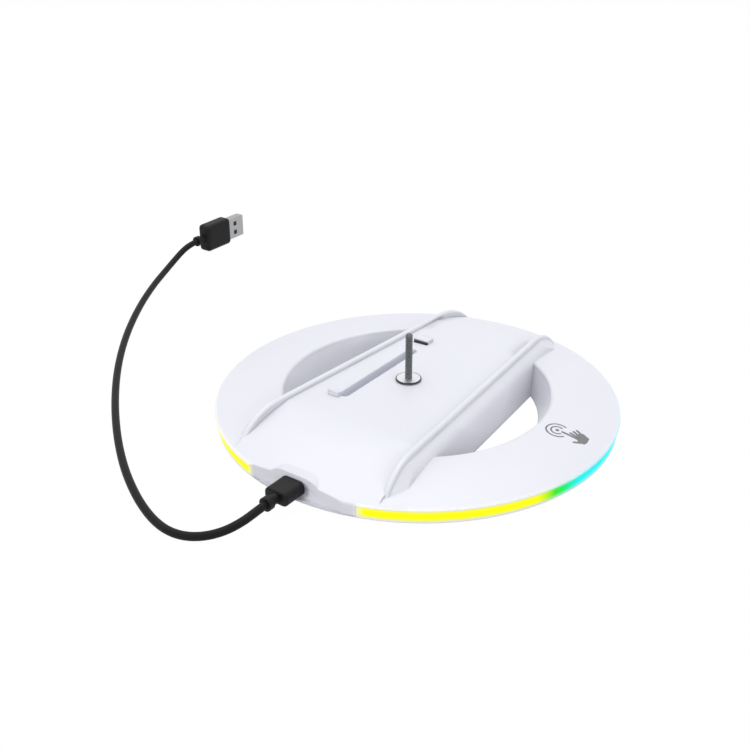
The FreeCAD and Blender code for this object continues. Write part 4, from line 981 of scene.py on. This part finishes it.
@dataclass
class TouchMark:
    """Printed touch mark on the ring: two broken circles, a dot and a pointing hand."""

    paintshop: Paintshop
    centre: tuple[float, float] = (64.9, 2.35)
    dot: float = 0.8
    pinhole: float = 0.01
    circles: Sequence[float] = (2.5, 4.4)
    stroke: float = 0.72
    circle_start: float = 64.0
    circle_end: float = 334.0
    circle_steps: int = 40
    film: float = 0.03
    longest_edge: float = 1.0
    edge_cuts: int = 3
    drop_height: float = 100.0
    finger_width: float = 1.15
    finger_steps: int = 10
    fingers: Sequence[tuple[float, float, float, float]] = (
        (2.2, 0.3, 9.2, 0.5),
        (4.9, 2.0, 9.2, 1.3),
        (5.4, 3.8, 9.2, 2.5),
        (6.0, 5.5, 9.2, 3.9),
        (8.6, -2.5, 10.6, -0.8),
    )
    palm: Sequence[tuple[float, float]] = (
        (7.4, 0.1), (8.9, -0.2), (10.2, -1.6), (12.2, -0.5), (12.5, 1.4), (11.9, 4.4), (8.8, 5.5), (7.6, 4.9),
        (7.2, 2.4),
    )

    def build(self) -> None:
        """Print the mark on the shell."""
        mesh = bmesh.new()
        self._arc(mesh, self.pinhole, self.dot, 0.0, FULL_TURN)
        for radius in self.circles:
            inside, outside = radius - self.stroke / 2, radius + self.stroke / 2
            self._arc(mesh, inside, outside, self.circle_start, self.circle_end)
        for tip_x, tip_y, root_x, root_y in self.fingers:
            self._finger(mesh, Vector((tip_x, tip_y)), Vector((root_x, root_y)))
        self._fill(mesh, [Vector(corner) for corner in self.palm])
        long_edges = [edge for edge in mesh.edges if edge.calc_length() > self.longest_edge]
        bmesh.ops.subdivide_edges(mesh, edges=long_edges, cuts=self.edge_cuts)
        bmesh.ops.triangulate(mesh, faces=mesh.faces[:])
        self._settle(mesh)
        self._thicken(mesh)
        data = bpy.data.meshes.new("touch_mark")
        mesh.to_mesh(data)
        mesh.free()
        mark = add_piece("touch_mark", data, Body.STAND)
        self.paintshop.paint(mark, MARK_INK)

    def _finger(self, mesh: bmesh.types.BMesh, tip: Vector, root: Vector) -> None:
        """Add a finger with a round tip.

        Args:
            mesh: Mesh that gets the finger.
            tip: Middle of its round end, from the mark's centre.
            root: Middle of its straight end, from the mark's centre.
        """
        half = self.finger_width / 2
        lengthwise = (tip - root).normalized()
        crosswise = Vector((-lengthwise.y, lengthwise.x))
        outline = [root + crosswise * half]
        for step in range(self.finger_steps + 1):
            turn = math.pi * step / self.finger_steps
            outline.append(tip + (crosswise * math.cos(turn) + lengthwise * math.sin(turn)) * half)
        outline.append(root - crosswise * half)
        self._fill(mesh, outline)

    def _fill(self, mesh: bmesh.types.BMesh, outline: Sequence[Vector]) -> None:
        """Add a flat filled shape given from the mark's centre."""
        corners = [mesh.verts.new((self.centre[0] + x, self.centre[1] + y, 0.0)) for x, y in outline]
        bmesh.ops.triangulate(mesh, faces=[mesh.faces.new(corners)])

    def _arc(self, mesh: bmesh.types.BMesh, inside: float, outside: float, start: float, end: float) -> None:
        """Add a flat strip of a circle about the mark's centre.

        Args:
            mesh: Mesh that gets the strip.
            inside: Inner radius.
            outside: Outer radius.
            start: First angle.
            end: Last angle.
        """
        steps = self.circle_steps
        turns = [math.radians(start + (end - start) * step / steps) for step in range(steps + 1)]
        inner = [mesh.verts.new(self._at(inside, turn)) for turn in turns]
        outer = [mesh.verts.new(self._at(outside, turn)) for turn in turns]
        for step in range(steps):
            mesh.faces.new((inner[step], outer[step], outer[step + 1], inner[step + 1]))

    def _at(self, radius: float, turn: float) -> Point:
        """Flat point at a radius and angle, in radians, about the mark's centre."""
        return self.centre[0] + radius * math.cos(turn), self.centre[1] + radius * math.sin(turn), 0.0

    def _settle(self, mesh: bmesh.types.BMesh) -> None:
        """Lower the flat print onto the shell, a film's thickness above it."""
        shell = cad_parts["top_shell"]
        for vertex in mesh.verts:
            over = Vector((vertex.co.x * MM, vertex.co.y * MM, self.drop_height * MM))
            hit, point, _, _ = shell.ray_cast(over, -UP)
            if not hit:
                raise ValueError("the touch mark leaves the shell")
            vertex.co = point + UP * (self.film * MM)
        for face in mesh.faces:
            if face.normal.z < 0:
                face.normal_flip()

    def _thicken(self, mesh: bmesh.types.BMesh) -> None:
        """Add the film's underside and walls, in the same order on each run."""
        top = mesh.faces[:]
        borders = [edge.link_loops[0] for edge in mesh.edges if edge.is_boundary]
        walls = [(loop.vert, loop.link_loop_next.vert) for loop in borders]
        under = {vertex: mesh.verts.new(vertex.co - UP * (self.film * MM)) for vertex in mesh.verts[:]}
        for face in top:
            mesh.faces.new([under[vertex] for vertex in reversed(face.verts[:])])
        for start, end in walls:
            mesh.faces.new((end, start, under[start], under[end]))


# Casing and what it holds


@dataclass
class Casing:
    """Moulded shell, cover, light band, feet and the parts inside."""

    paintshop: Paintshop
    feet: int = 6
    finishes: dict[str, Finish] = field(default_factory=lambda: {
        "top_shell": SHELL_WHITE,
        "bottom_cover": COVER_WHITE,
        "light_ring": BAND_LIGHT,
        "led_strip": STRIP_WHITE,
        "leds": LAMP_LENS,
        "control_board": BOARD_GREEN,
        "control_chip": CHIP_BLACK,
        "board_screws": FASTENER_STEEL,
        "case_screws": FASTENER_STEEL,
        "usb_c_receptacle": PLUG_METAL,
        "usb_c_tongue": CHIP_BLACK,
        "touch_pad": COPPER_FOIL,
        "touch_lead": LEAD_RUBBER,
        "led_lead": LEAD_RUBBER,
    })

    def dress(self) -> None:
        """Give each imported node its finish."""
        for node, finish in self.finishes.items():
            self.paintshop.paint_node(node, finish)
        for number in range(1, self.feet + 1):
            self.paintshop.paint_node(f"rubber_foot_{number}", FOOT_RUBBER)


def main() -> None:
    """Build the camera, the lead, the pieces and the studio in order."""
    logging.basicConfig(level=logging.INFO, format="%(message)s")
    studio = Studio()
    studio.place_camera()
    paintshop = Paintshop()
    ChargingLead(paintshop).build()
    Casing(paintshop).dress()
    ConsoleScrew(paintshop).build()
    TouchMark(paintshop).build()
    studio.build()


if __name__ == "__main__":
    main()
